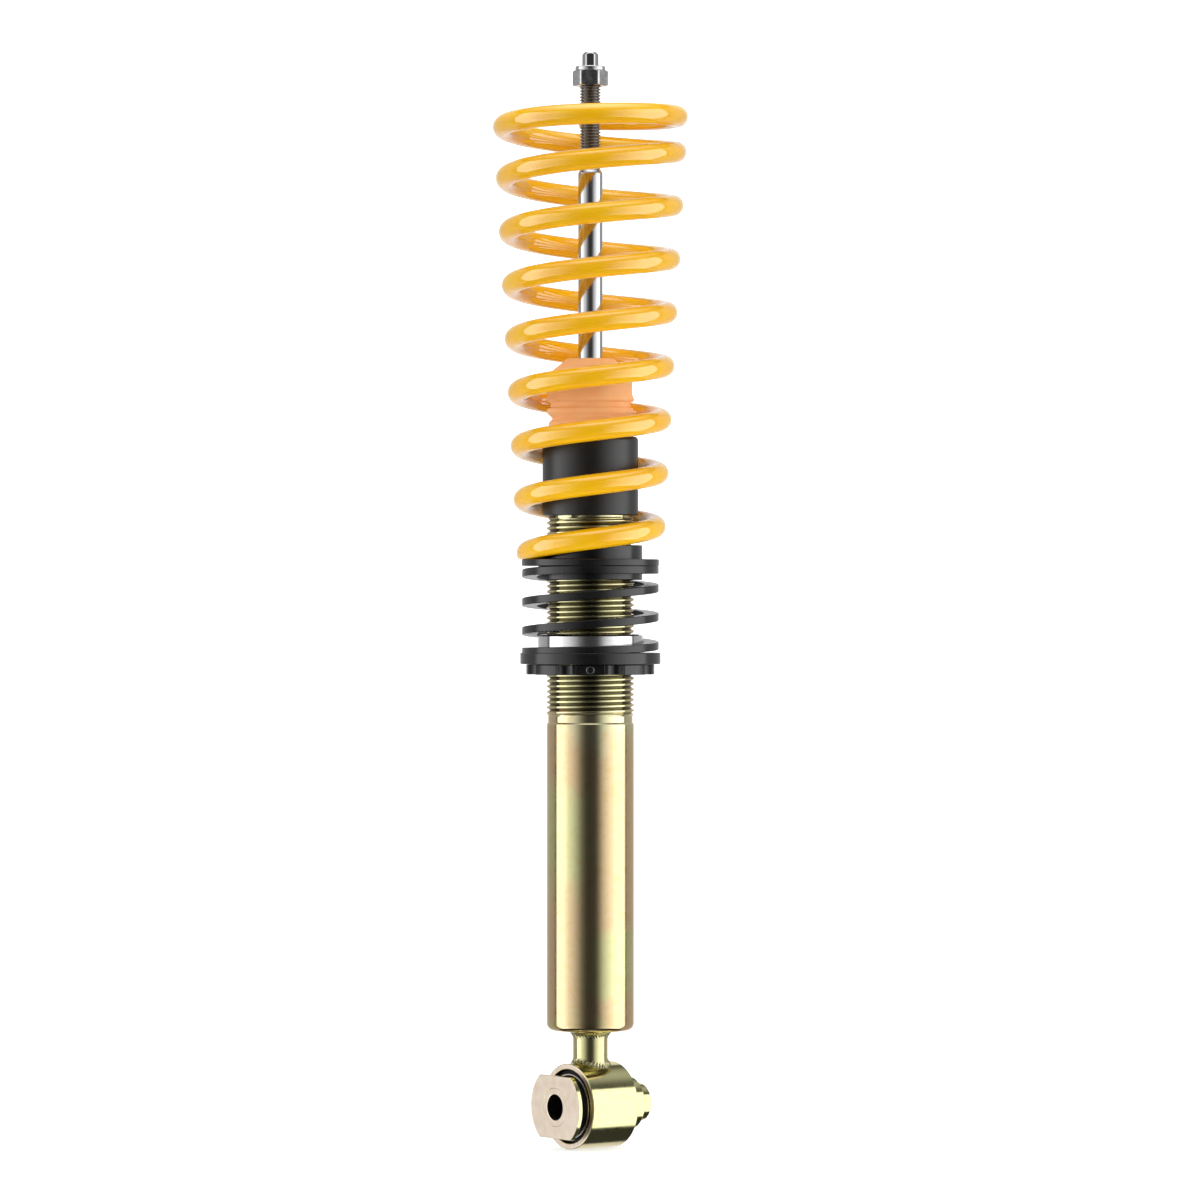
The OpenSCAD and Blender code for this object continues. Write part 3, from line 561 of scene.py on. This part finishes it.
# Natural nylon, turned: milky off-white with a waxy shine.
nylon = finished("natural_nylon", {"Roughness": 0.4, "Subsurface Weight": 0.2},
                 {"Scale": 0.8, "Detail": 2.0}, [(0.3, "#DDD8C4"), (0.7, "#EEEADB")])

for coat, nodes in ((bright, ["pressure_tube", "foot_valve_bolt", "foot_valve_shims",
                              "foot_valve_nut", "top_cap", "bump_shims", "rebound_shims",
                              "piston_nut", "rebound_collar"]),
                    (alloy, ["foot_valve", "rod_guide", "piston"]), (bronze, ["guide_bush"]),
                    (band, ["piston_band"]), (nylon, ["lock_pad"]),
                    (rubber, ["guide_o_ring", "rod_seal", "rebound_bumper"])):
    for node in nodes:
        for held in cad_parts[node].material_slots:
            held.material = coat


# ---------------------------------------------------------------------------- strike cap
# The black cap pressed over the tube's top, which the bump stop lands on. It is moulded in
# one piece with a rounded upper edge and a shallow seat inside it.

# Glass-filled nylon, moulded and spark textured: black with a broad grey sheen.
# The texture is about 0.5 mm across, twice as coarse as the real one.
moulded = finished("moulded_black_nylon", {"Specular IOR Level": 0.75, "Roughness": 0.36},
                   {"Scale": 0.12, "Detail": 3.0}, [(0.3, "#0B0B0C"), (0.7, "#121213")],
                   bump=(0.18, 0.0001), grain={"Scale": 2.0, "Detail": 3.0})

cap_low, cap_high = span("strike_cap")
cap_r, cap_z, cap_top = cap_high[0], cap_low[2], cap_high[2]
turned_ring("moulded_strike_cap", [
    [root_r, cap_z], [cap_r - 0.4, cap_z], [cap_r, cap_z + 0.4], [cap_r, cap_top],
    [20.6, cap_top], [20.6, cap_top - 5], [9, cap_top - 5], [9, tube_top],
    [root_r - 0.6, tube_top], [root_r, tube_top - 1]],
    [0.2, 0.3, 0.5, 2.4, 0.5, 0.5, 0.4, 0.2, 0.2, 0.2], [moulded], "damper_body",
    ["strike_cap"], columns=128)


# ---------------------------------------------------------------------------- rod
# The 14 mm piston rod: ground and hard chromed along its length, with a shoulder that the
# top mount sits on, a phosphated M12 x 1.75 thread above that, and a hexagon at the tip
# that holds the rod still while the nut is turned.

# Hard chrome, ground: a neutral mirror with very faint lengthwise haze.
chrome = finished("ground_hard_chrome", {"Metallic": 1.0, "Roughness": 0.07},
                  {"Scale": 0.8, "Detail": 3.0}, [(0.3, "#BFC0C2"), (0.7, "#D4D4D6")],
                  haze=(0.05, 0.13), stretch=(1, 1, 0.05))

# Manganese phosphate on rolled steel: a neutral charcoal grey with an oily sheen.
phosphate = finished("phosphated_thread", {"Metallic": 0.95, "Roughness": 0.26},
                     {"Scale": 1.6, "Detail": 3.0}, [(0.3, "#757473"), (0.7, "#A19F9D")])

rod_low, rod_high = span("piston_rod")
rod_r, rod_foot, rod_tip = 7.0, rod_low[2], rod_high[2]
shoulder_z, seat_z = 533.0, 324.0
stud_r, stud_pitch = 6.0, 1.75
stud_depth = 0.61 * stud_pitch
stud_root_r = stud_r - stud_depth
key_half_flats, key_corner_r = 4.2, 4.65
nut_z, nut_hex_h, nut_top = span("top_nut")[0][2], 8.8, span("top_nut")[1][2]


def hexagon(half_flats, angle):
    """Polar outline of a hexagon with flats at 30 and 90 degrees: half the width across flats
    over the cosine of the angle from the nearest flat's middle."""
    sixth = TURN / 6
    return half_flats / np.cos((angle + sixth) % sixth - sixth / 2)


def stud_thread(z, depth):
    """The least of the crest less the depth and a blank chamfered off at both ends."""
    blank = np.interp(z, [shoulder_z + 0.2, shoulder_z + 1.2, nut_top - 1.2, nut_top - 0.2],
                      [stud_root_r + 0.3, stud_r, stud_r, stud_root_r + 0.2])
    return np.minimum(blank, stud_r - stud_depth * depth)


rod_profile = [[1, rod_foot], [4.5, rod_foot], [5, rod_foot + 0.5], [5, seat_z - 0.3],
               [5, seat_z], [5.3, seat_z], [6.8, seat_z], [rod_r, seat_z + 0.2],
               [rod_r, seat_z + 2], [rod_r, shoulder_z - 2.2], [rod_r, shoulder_z - 1.9],
               [rod_r - 0.1, shoulder_z - 1.7], [stud_root_r + 1.1, shoulder_z - 0.15],
               [stud_root_r + 0.9, shoulder_z], [stud_root_r + 0.35, shoulder_z + 0.05],
               [stud_root_r + 0.3, shoulder_z + 0.15]]
key_rise = np.array([0, 0.1, 0.5, 6.4, 6.6, 6.8, 7.0, 7.2, 7.4, 7.6, 7.8, 8.05, 8.2])
key_top = nut_top + key_rise
angle = TURN * np.arange(72) / 72
key_profile = np.stack([key_half_flats + 0 * key_top, key_top], -1)
key_profile = np.concatenate([[[stud_root_r + 0.2, nut_top - 0.05]], key_profile,
                              [[1, rod_tip]]])
stud_cut = [(0.04, 0), (0.14, 0), (0.2, 0.06), (0.26, 0.2), (0.47, 0.85), (0.51, 0.97),
            (0.55, 1), (0.61, 1), (0.65, 0.97), (0.69, 0.85), (0.91, 0.2), (0.98, 0.04)]
points, groups = thread(rod_profile, key_profile, shoulder_z + 0.2, stud_pitch, turns=32,
                        cut=stud_cut, radius_at=stud_thread, columns=len(angle))
key = len(points) - len(key_profile) + 1
cone = np.interp(key_top, [nut_top + 6.4, nut_top + 8.05, nut_top + 8.2], [5, 3.5, 3.1])
key_r = np.minimum(np.minimum(hexagon(key_half_flats, angle), key_corner_r), cone[:, None])
points[key:-1, :, 0] = key_r * np.cos(angle)
points[key:-1, :, 1] = key_r * np.sin(angle)
row_of = np.concatenate([group.min(1) if group.ndim == 2 else group for group in groups])
row_of = row_of // len(angle)
dark = (row_of >= len(rod_profile) - 2) & (row_of < key - 1)
build("rod_with_stud", points, groups, [chrome, phosphate], "rod", ["piston_rod"],
      sharp=50, second=dark)


# ---------------------------------------------------------------------------- top nut
# A zinc plated steel lock nut, 18 mm across its flats, chamfered top and bottom, with rounded
# corners and the round collar that holds its locking ring. It clamps the vehicle's top mount.

columns = 144
angle = TURN * np.arange(columns) / columns
nut_half_flats, nut_corner_r = 9.0, 10.12
hex_r = np.minimum(hexagon(nut_half_flats, angle), nut_corner_r)
bevel = np.array([9.3, 9.55, 9.8, 10.05, 10.3, 10.6])
bevel_z = (bevel - 9.3) * 0.6
washer_face = np.array([6.6, 9.0])[:, None] + 0 * angle
collar_wall = np.array([9.1, 8.9, 8.6, 8.6, 8.6, 8.3, 6.5, 6.02, 6.02])[:, None] + 0 * angle
nut_rows = np.concatenate([washer_face, np.minimum(hex_r, bevel[:, None]),
                           np.minimum(hex_r, bevel[::-1, None]), collar_wall])
nut_h = nut_top - nut_z
nut_heights = np.concatenate([
    [0, 0], bevel_z, nut_hex_h - bevel_z[::-1], [nut_hex_h, nut_hex_h, nut_hex_h + 0.2, 9.6,
    nut_h - 0.4, nut_h, nut_h, nut_h - 0.5, 0.6]])
points = polar(nut_rows, angle - np.radians(3), nut_z + nut_heights[:, None])
build("lock_nut", points, looped(points), [bright], "rod", ["top_nut"],
      sharp=32)


# ---------------------------------------------------------------------------- bump stop
# The spring aid: a turned-looking moulding of cellular polyurethane that grips the rod and
# rests in the strike cap's seat. Grooves let its neck fold first as the damper closes.

# Microcellular polyurethane: pale orange foam with a fine skin, soft and matt, a little
# light passing through its thin lips.
# The cells are about 0.6 mm across, drawn twice as coarse as the real ones.
foam = finished("cellular_polyurethane", {
    "Roughness": 0.72, "Specular IOR Level": 0.3, "Subsurface Weight": 0.1,
    "Subsurface Scale": 0.004, "Subsurface Radius": (1.0, 0.45, 0.2), "Sheen Weight": 0.1},
    {"Scale": 0.1, "Detail": 3.0}, [(0.3, "#FFC286"), (0.7, "#FFCD96")],
    bump=(0.16, 0.0002), kind="ShaderNodeTexVoronoi", grain={"Scale": 1.6})

stop_foot, stop_top = span("bump_stop")[0][2], span("bump_stop")[1][2]
grip_r = 7.05
stop_corners = [
    [grip_r, stop_foot - stop_top], [19, stop_foot - stop_top], [20, stop_foot - stop_top + 1],
    [20, -43.2], [22.6, -42.6], [24.0, -37.4], [23.4, -35.8], [21.35, -34.2], [23.6, -32],
    [24.7, -31.0], [24.7, -28.6], [22.65, -27.6], [22.65, -25.0], [25.0, -24.1], [25.1, -23.2],
    [24.4, -21.6], [23.9, -20.0], [23.9, -10.0], [23.3, -8.4], [21.6, -6.6], [13.8, -0.4],
    [13.1, 0], [grip_r, 0]]
turned_ring("foam_bump_stop", np.array(stop_corners) + [0, stop_top],
            [0.4, 0.6, 0.6, 0.3, 0.6, 1.2, 0.7, 1.0, 0.7, 0.6, 0.6, 0.5, 0.5, 0.5, 0.6, 0.8, 1.2,
             1.0, 1.0, 1.2, 0.4, 0.4, 0.5], [foam], "bump_stop", ["bump_stop"],
            columns=128, sharp=60)


# ---------------------------------------------------------------------------- adjuster ring
# The threaded collar that carries the spring plate: black anodised, with eight notches for
# the hook spanner and one flat land where a grub screw locks it on the thread.

# Black coating on machined metal: deep grey black, satin, with a fine even tooth.
# The etched tooth is about 0.4 mm across, some four times as coarse as the real one.
black = finished("satin_black_coating", {"Metallic": 0.0, "Roughness": 0.24,
                                         "Specular IOR Level": 0.75},
                 {"Scale": 0.15, "Detail": 4.0}, [(0.3, "#09090A"), (0.7, "#101011")],
                 haze=(0.2, 0.29), bump=(0.06, 0.0001), grain={"Scale": 2.5, "Detail": 2.0})

ring_low, ring_high = span("adjuster_ring")
ring_r, ring_z, ring_top = ring_high[0], ring_low[2], ring_high[2]
collar_bore = tube_r + 0.05
notch_r, notch_at = 6.2, ring_r + 1.6
land = ring_r - 1.0
notch_edge = np.arccos((notch_at ** 2 + ring_r ** 2 - notch_r ** 2) / (2 * notch_at * ring_r))
eighth = TURN / 8
step = np.concatenate([np.linspace(-notch_edge, notch_edge, 26, endpoint=False),
                       np.linspace(notch_edge, eighth - notch_edge, 44, endpoint=False)])
angle = (eighth / 2 + eighth * np.arange(8)[:, None] + step).ravel()
off_notch = (angle % eighth) - eighth / 2
cut = notch_r ** 2 - (notch_at * np.sin(off_notch)) ** 2
notch = np.where(np.abs(off_notch) < notch_edge + 1e-6,
                 notch_at * np.cos(off_notch) - np.sqrt(np.maximum(cut, 0)), ring_r)
facing = -np.sin(angle)
outline = np.minimum(notch, np.where(facing > 0.9, land / np.maximum(facing, 0.5), ring_r))
# the corners of the notches are broken by the deburring brush
outline = (np.roll(outline, 1) + 2 * outline + np.roll(outline, -1)) / 4
radius, height = flat_ring(outline, collar_bore, ring_z, ring_top, edge=0.25, walls=17)
x, y = radius * np.cos(angle), radius * np.sin(angle)
# the screw's hole: points of the outer wall within its radius are set back under the screw
mid_z, hole_r = (ring_z + ring_top) / 2, 1.6
in_hole = (x ** 2 + (height - mid_z) ** 2 < hole_r ** 2) & (y < -ring_r + 4)
y = np.where(in_hole & (radius > ring_r - 1.5), -ring_r + 5.5, y)
points = np.stack([x, y, height], -1)
build("notched_adjuster_ring", points, looped(points), [black], "adjuster_ring",
      ["adjuster_ring"], sharp=35)

# The grub screw is M5 with a hexagon socket. Its turned face shows as a bright ring round
# the blackened socket.
columns = 72
angle = TURN * np.arange(columns) / columns
socket = hexagon(1.25, angle)
screw_face = ring_r - 0.95
# rows run from the screw's inner end over its turned face and down into the socket
turned_face = np.array([1, 2.2, 2.5, 2.5, 2.42, 2.3, 2.15, 1.8, 1.5])[:, None] + 0 * angle
screw_rows = np.vstack([turned_face, np.maximum(socket, 1.4), socket, socket, 0.2 + 0 * angle])
screw_out = np.array([-7.7, -7.7, -7.4, -0.4, -0.24, 0.0, 0.06, 0.08, 0.05, -0.1, -0.4, -2.4,
                      -2.9])[:, None]
points = np.stack([screw_rows * np.cos(angle), -screw_out - screw_face + 0 * screw_rows,
                   mid_z + screw_rows * np.sin(angle)], -1)
in_socket = np.append(np.repeat(np.arange(len(screw_rows) - 1) > 7, columns), [False, True])
build("grub_screw", points, capped(points), [bright, black], "adjuster_ring",
      ["lock_screw"], sharp=35, second=in_socket)


# ---------------------------------------------------------------------------- spring plate
# The plate that carries the helper spring: a turned black disc that slides on the thread's
# crests, with a bright aluminium sleeve pressed into it that centres the spring.

plate_low, plate_high = span("spring_plate")
plate_r, plate_z, plate_top = plate_high[0], plate_low[2], plate_high[2]
sleeve_high = span("centring_sleeve")[1]
centring_r, centring_foot, centring_top = sleeve_high[0], plate_z + 2.5, sleeve_high[2]
turned_ring("turned_spring_plate", [
    [collar_bore, plate_z], [plate_r, plate_z], [plate_r, plate_top], [centring_r, plate_top],
    [centring_r, centring_foot], [collar_bore, centring_foot]],
    [0.3, 0.5, 0.5, 0.2, 0.2, 0.3], [black], "spring_plate", ["spring_plate"],
    columns=160)

# Polished aluminium: white silver and nearly a mirror, drawn round by the polishing mop.
polished = finished("polished_aluminium", {"Metallic": 1.0, "Roughness": 0.14},
                    {"Scale": 0.8, "Detail": 3.0}, [(0.3, "#DADADC"), (0.7, "#EEEEEE")],
                    haze=(0.05, 0.1), stretch=(0.2, 0.2, 4))
turned_ring("polished_centring_sleeve", [
    [centring_r - 2.4, centring_foot], [centring_r, centring_foot],
    [centring_r, centring_top - 1], [centring_r - 1, centring_top],
    [centring_r - 2, centring_top], [centring_r - 2.4, centring_top - 0.4]],
    [0.2, 0.2, 0.3, 0.3, 0.2, 0.2], [polished], "spring_plate", ["centring_sleeve"],
    columns=160)


# ---------------------------------------------------------------------------- helper spring
# A soft spring of flat wire, rolled on edge and coated black, that keeps the main spring
# seated when the wheel drops. Both its end turns are closed and lie flat.

helper_high = span("helper_spring")[1]
wire_w, wire_t = 8.5, 4.5
helper_mid_r = helper_high[0] - wire_w / 2
helper_foot = plate_top + wire_t / 2 + 0.02
helper_head = helper_high[2] - wire_t / 2
helper_from, helper_pitch, helper_bend, helper_ground = 0.39, 16.4, 0.12, 1.6
helper_to = helper_from + (helper_head - helper_foot) / helper_pitch


def ramp(t):
    """Zero below -bend, t above bend, and between them the parabola that joins the two."""
    curve = np.clip(t + helper_bend, 0, None) ** 2 / (4 * helper_bend)
    return np.where(t >= helper_bend, t, curve)


def wound(t, radius, height, out, up, slope):
    """Points of a coil's section at turn t: the angle is half a turn plus t turns, `out` runs
    along the radius, and `up` is square to the wire, so it leans back by the wire's slope."""
    a = TURN * (0.5 + t)
    return np.stack([(radius + out) * np.cos(a) + up * np.sin(slope) * np.sin(a),
                     (radius + out) * np.sin(a) - up * np.sin(slope) * np.cos(a),
                     height + up * np.cos(slope)], -1)


def follow(piece):
    """Bakes a spring's placement into its mesh; the spring is tied to no body."""
    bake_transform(piece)


t = np.linspace(-0.3, helper_to + 0.62, 300)[:, None]
# the lowest turn is ground flat underneath, thinner and thinner towards the wire's end
middle = helper_foot + helper_pitch * (ramp(t - helper_from) - ramp(t - helper_to)) \
    - helper_ground * np.clip((0.4 - t) / 0.36, 0, 1)
section = eased([[-wire_w / 2, -wire_t / 2], [wire_w / 2, -wire_t / 2], [wire_w / 2, wire_t / 2],
                 [-wire_w / 2, wire_t / 2]], 0.55, 4)
points = wound(t, helper_mid_r, middle, section[:, 0], section[:, 1], 0)
points[:, :, 2] = np.maximum(points[:, :, 2], helper_foot - wire_t / 2)
helper = build("flat_wire_helper", points, capped(points), [black], None, ["helper_spring"],
               sharp=40)
follow(helper)


# ---------------------------------------------------------------------------- adapter
# The ring between the two springs: a flange with a short collar above and below, which fits
# inside both springs and keeps them in line. It is black coated like the plate.

flange_low, flange_high = span("spring_adapter")
flange_r, flange_z, flange_top = flange_high[0], flange_low[2] + 8, flange_high[2] - 8
collar_r, adapter_bore = 29.7, 28.25
turned_ring("black_spring_adapter", [
    [adapter_bore, flange_low[2]], [collar_r, flange_low[2]], [collar_r, flange_z],
    [flange_r, flange_z], [flange_r, flange_top], [collar_r, flange_top],
    [collar_r, flange_high[2]], [adapter_bore, flange_high[2]]],
    [0.3, 0.6, 0.4, 0.45, 0.45, 0.4, 0.6, 0.3], [black], "adapter", ["spring_adapter"],
    columns=160)


# ---------------------------------------------------------------------------- main spring
# The load spring: 12 mm round wire wound cold to a cone, 60 mm inside at the foot and wider
# at the top, its lower end ground flat on the adapter, then powder coated yellow.

# Polyester powder coat: warm golden yellow, thick and wet looking, with a faint orange peel.
# The peel is about 2.5 mm across, as on the real coat, and raises the coat's gloss too.
powder = finished("yellow_powder_coat", {
    "Roughness": 0.45, "Specular IOR Level": 0.1, "Coat Weight": 1.0, "Coat Roughness": 0.03,
    "Coat IOR": 2.05}, {"Scale": 0.05, "Detail": 2.0}, [(0.3, "#FDBA00"), (0.7, "#FFC600")],
    bump=(0.03, 0.0003), grain={"Scale": 0.4, "Detail": 1.0})
shader = powder.node_tree.nodes["Principled BSDF"]
powder.node_tree.links.new(shader.inputs["Normal"].links[0].from_socket,
                           shader.inputs["Coat Normal"])

wire_r, sides = 6.0, 32
seat = flange_top + 0.02
coil_r_low, coil_r_high, coil_pitch, end_pitch = 36.2, 49.7, 30.5, 10.0
end_from, end_to, spring_foot = 7.78, 8.2, flange_top + 3.5
turn_low, turn_high = -0.27, 8.77


def spring_line(t):
    """Radius and height of the wire's middle at turn t. The radius grows evenly to its largest
    at turn 8. The height climbs one pitch a turn, then over the last coil its slope eases
    evenly from the open pitch to the end pitch."""
    past = np.clip(t - end_from, 0, end_to - end_from)
    height = spring_foot + coil_pitch * np.minimum(t, end_from) + coil_pitch * past \
        + (end_pitch - coil_pitch) * past ** 2 / (2 * (end_to - end_from)) \
        + end_pitch * np.clip(t - end_to, 0, None)
    return np.minimum(coil_r_high, coil_r_low + (coil_r_high - coil_r_low) / 8
                      * np.clip(t, 0, None)), height


# the wire's upper end is sheared square and rounded over its last 2.5 mm by the coating
end_turns = 2.5 / (TURN * coil_r_high)
closing = np.sin(np.linspace(0, TURN / 4, 8)[1:])
t = np.concatenate([np.linspace(turn_low, turn_high - end_turns, 640),
                    turn_high - end_turns * (1 - closing)])[:, None]
radius, middle = spring_line(t)
cut = np.clip((seat - middle) / wire_r, -1, 0.999)
half_chord = np.sqrt(1 - np.maximum(cut, 0) ** 2)
a = TURN * np.arange(sides) / sides
across = half_chord * np.cos(a)
whole = np.maximum(np.sin(a), cut)
sliced = np.where(np.sin(a) >= 0, np.sqrt(1 - across ** 2), cut)
up = np.where(cut < 0, whole, sliced)
into_end = np.clip((t - turn_high + end_turns) / end_turns, 0, 1)
shrink = 1 - 0.4 * (1 - np.sqrt(1 - into_end ** 2))
points = wound(t, radius, middle, wire_r * across * shrink, wire_r * up * shrink,
               np.arctan(coil_pitch / (TURN * radius)))
points[:, :, 2] = np.maximum(points[:, :, 2], seat)
spring = build("yellow_main_spring", points, capped(points), [powder], None,
               ["main_spring"], sharp=60)
follow(spring)


# ---------------------------------------------------------------------------- studio
# The unit stands upright on a white card in a light tent. The tent is dark where it opens in
# front, brightens round to a tall white wall at each side, drops to dull grey behind them,
# and has a white ceiling, so round metal shows clean upright bands.

world = bpy.data.worlds.new("light_tent")
bpy.context.scene.world = world
world.use_nodes = True
tree = world.node_tree
direction = add(tree, "ShaderNodeTexCoord", {}, {}).outputs["Generated"]
# round the compass: degrees from the front and brightness, for the right and the left walls
right = ((0, 0.014), (10, 0.02), (16, 0.037), (23, 0.116), (35, 0.363), (47, 0.56),
         (60, 0.76), (70, 0.97), (103, 1.0), (105.5, 0.1), (109.5, 0.08),
         (112, 0.2), (150, 0.25), (165, 0.42), (180, 0.5))
left = ((10, 0.02), (16, 0.045), (23, 0.087), (35, 0.242), (47, 0.41), (60, 0.56),
        (70, 0.8), (78, 0.97))
behind = ((165, 0.42), (150, 0.25), (110, 0.18), (107, 0.07), (101.5, 0.08), (99, 1.0))
compass = add(tree, "ShaderNodeTexGradient", {"gradient_type": "RADIAL"}, {"Vector": direction})
walls = add(tree, "ShaderNodeValToRGB", {"stops":
            [(0.25 - turn / 360, glow) for turn, glow in left[::-1]]
            + [(0.25 + turn / 360, glow) for turn, glow in right]
            + [(1.25 - turn / 360, glow) for turn, glow in behind]},
            {"Fac": compass.outputs["Fac"]})
# from straight down to straight up: the walls end 43 degrees down and 36 degrees up, the
# floor is dark and the ceiling brightens towards its middle
axes = add(tree, "ShaderNodeSeparateXYZ", {}, {"Vector": direction})
level = add(tree, "ShaderNodeMath", {"operation": "MULTIPLY_ADD", 1: 0.5, 2: 0.5},
            {0: axes.outputs["Z"]})
wall_band = add(tree, "ShaderNodeValToRGB", {"stops": [
    (0.15, 0.0), (0.165, 1.0), (0.785, 1.0), (0.8, 0.0)]}, {"Fac": level.outputs[0]})
caps = add(tree, "ShaderNodeValToRGB", {"stops": [
    (0.0, 0.12), (0.03, 0.03), (0.14, 0.02), (0.16, 0.0), (0.8, 0.02), (0.86, 0.1),
    (0.93, 0.4), (0.98, 0.9)]}, {"Fac": level.outputs[0]})
banded = add(tree, "ShaderNodeMix", {"data_type": "RGBA", "blend_type": "MULTIPLY", 0: 1.0},
             {6: walls.outputs[0], 7: wall_band.outputs[0]})
total = add(tree, "ShaderNodeMix", {"data_type": "RGBA", "blend_type": "ADD", 0: 1.0},
            {6: banded.outputs[2], 7: caps.outputs[0]})
tree.nodes["Background"].inputs["Strength"].default_value = 1.9
tree.links.new(total.outputs[2], tree.nodes["Background"].inputs["Color"])
world.cycles_visibility.camera = False
bpy.context.scene.view_settings.view_transform = "Standard"


def card(name, points, faces, glow, **seen_by):
    """A white card of the studio from points in millimetres: it glows by this much, and the
    kinds of ray named in seen_by pass through it."""
    white = finished(name, {"Roughness": 0.9, "Emission Strength": glow,
                            "Emission Color": linear("#FFFFFF")},
                     {"Scale": 0.05, "Detail": 2.0}, [(0.3, "#FCFCFC"), (0.7, "#FFFFFF")])
    mesh = bpy.data.meshes.new(name)
    mesh.from_pydata((points.reshape(-1, 3) * MM).tolist(), [], faces)
    mesh.materials.append(white)
    thing = bpy.data.objects.new(name, mesh)
    bpy.context.scene.collection.objects.link(thing)
    for kind, seen in seen_by.items():
        setattr(thing, "visible_" + kind, seen)
    return thing


floor_z = cad_box[0][2] / MM - 0.4
rows = np.arange(192).reshape(2, 96)
card("studio_floor", turned([[450, floor_z], [450, floor_z - 4]], 96),
     strips(rows).tolist() + [rows[0].tolist(), rows[1, ::-1].tolist()], 0.6, glossy=False)
swing = np.linspace(0.01, TURN / 2 - 0.01, 40)
rows = np.arange(40 * 72).reshape(40, 72)
card("white_sweep", turned(np.stack([9000 * np.sin(swing), 9000 * np.cos(swing)], -1), 72),
     strips(rows).tolist() + [rows[0].tolist(), rows[-1].tolist()], 1.0, diffuse=False,
     glossy=False, transmission=False, shadow=False)

# four large soft lamps, in front, at the sides and overhead, that light matt surfaces only
for name, size, energy, place in (("front_fill", 1.6, 7.0, (0, -2.6, 0.7)),
                                  ("left_fill", 1.2, 4.5, (-2.1, -0.9, 0.5)),
                                  ("right_fill", 1.2, 4.5, (2.1, -0.9, 0.5)),
                                  ("overhead_fill", 1.2, 14.0, (0, -0.4, 2.2))):
    lamp = bpy.data.lights.new(name, "AREA")
    lamp.size, lamp.energy = size, energy
    fill = bpy.data.objects.new(name, lamp)
    fill.location = place
    aim = Vector(place) - Vector((0, 0, 0.3))
    fill.rotation_euler = aim.to_track_quat("Z", "Y").to_euler()
    fill.visible_camera = fill.visible_glossy = False
    bpy.context.scene.collection.objects.link(fill)

lens = bpy.data.cameras.new("catalogue_camera")
lens.lens, lens.sensor_width = 169.35, 36
camera = bpy.data.objects.new("catalogue_camera", lens)
camera.location = (0.0055, -3.218, 0.2879)
camera.rotation_euler = (TURN / 4, 0, 0)
bpy.context.scene.collection.objects.link(camera)
bpy.context.scene.camera = camera
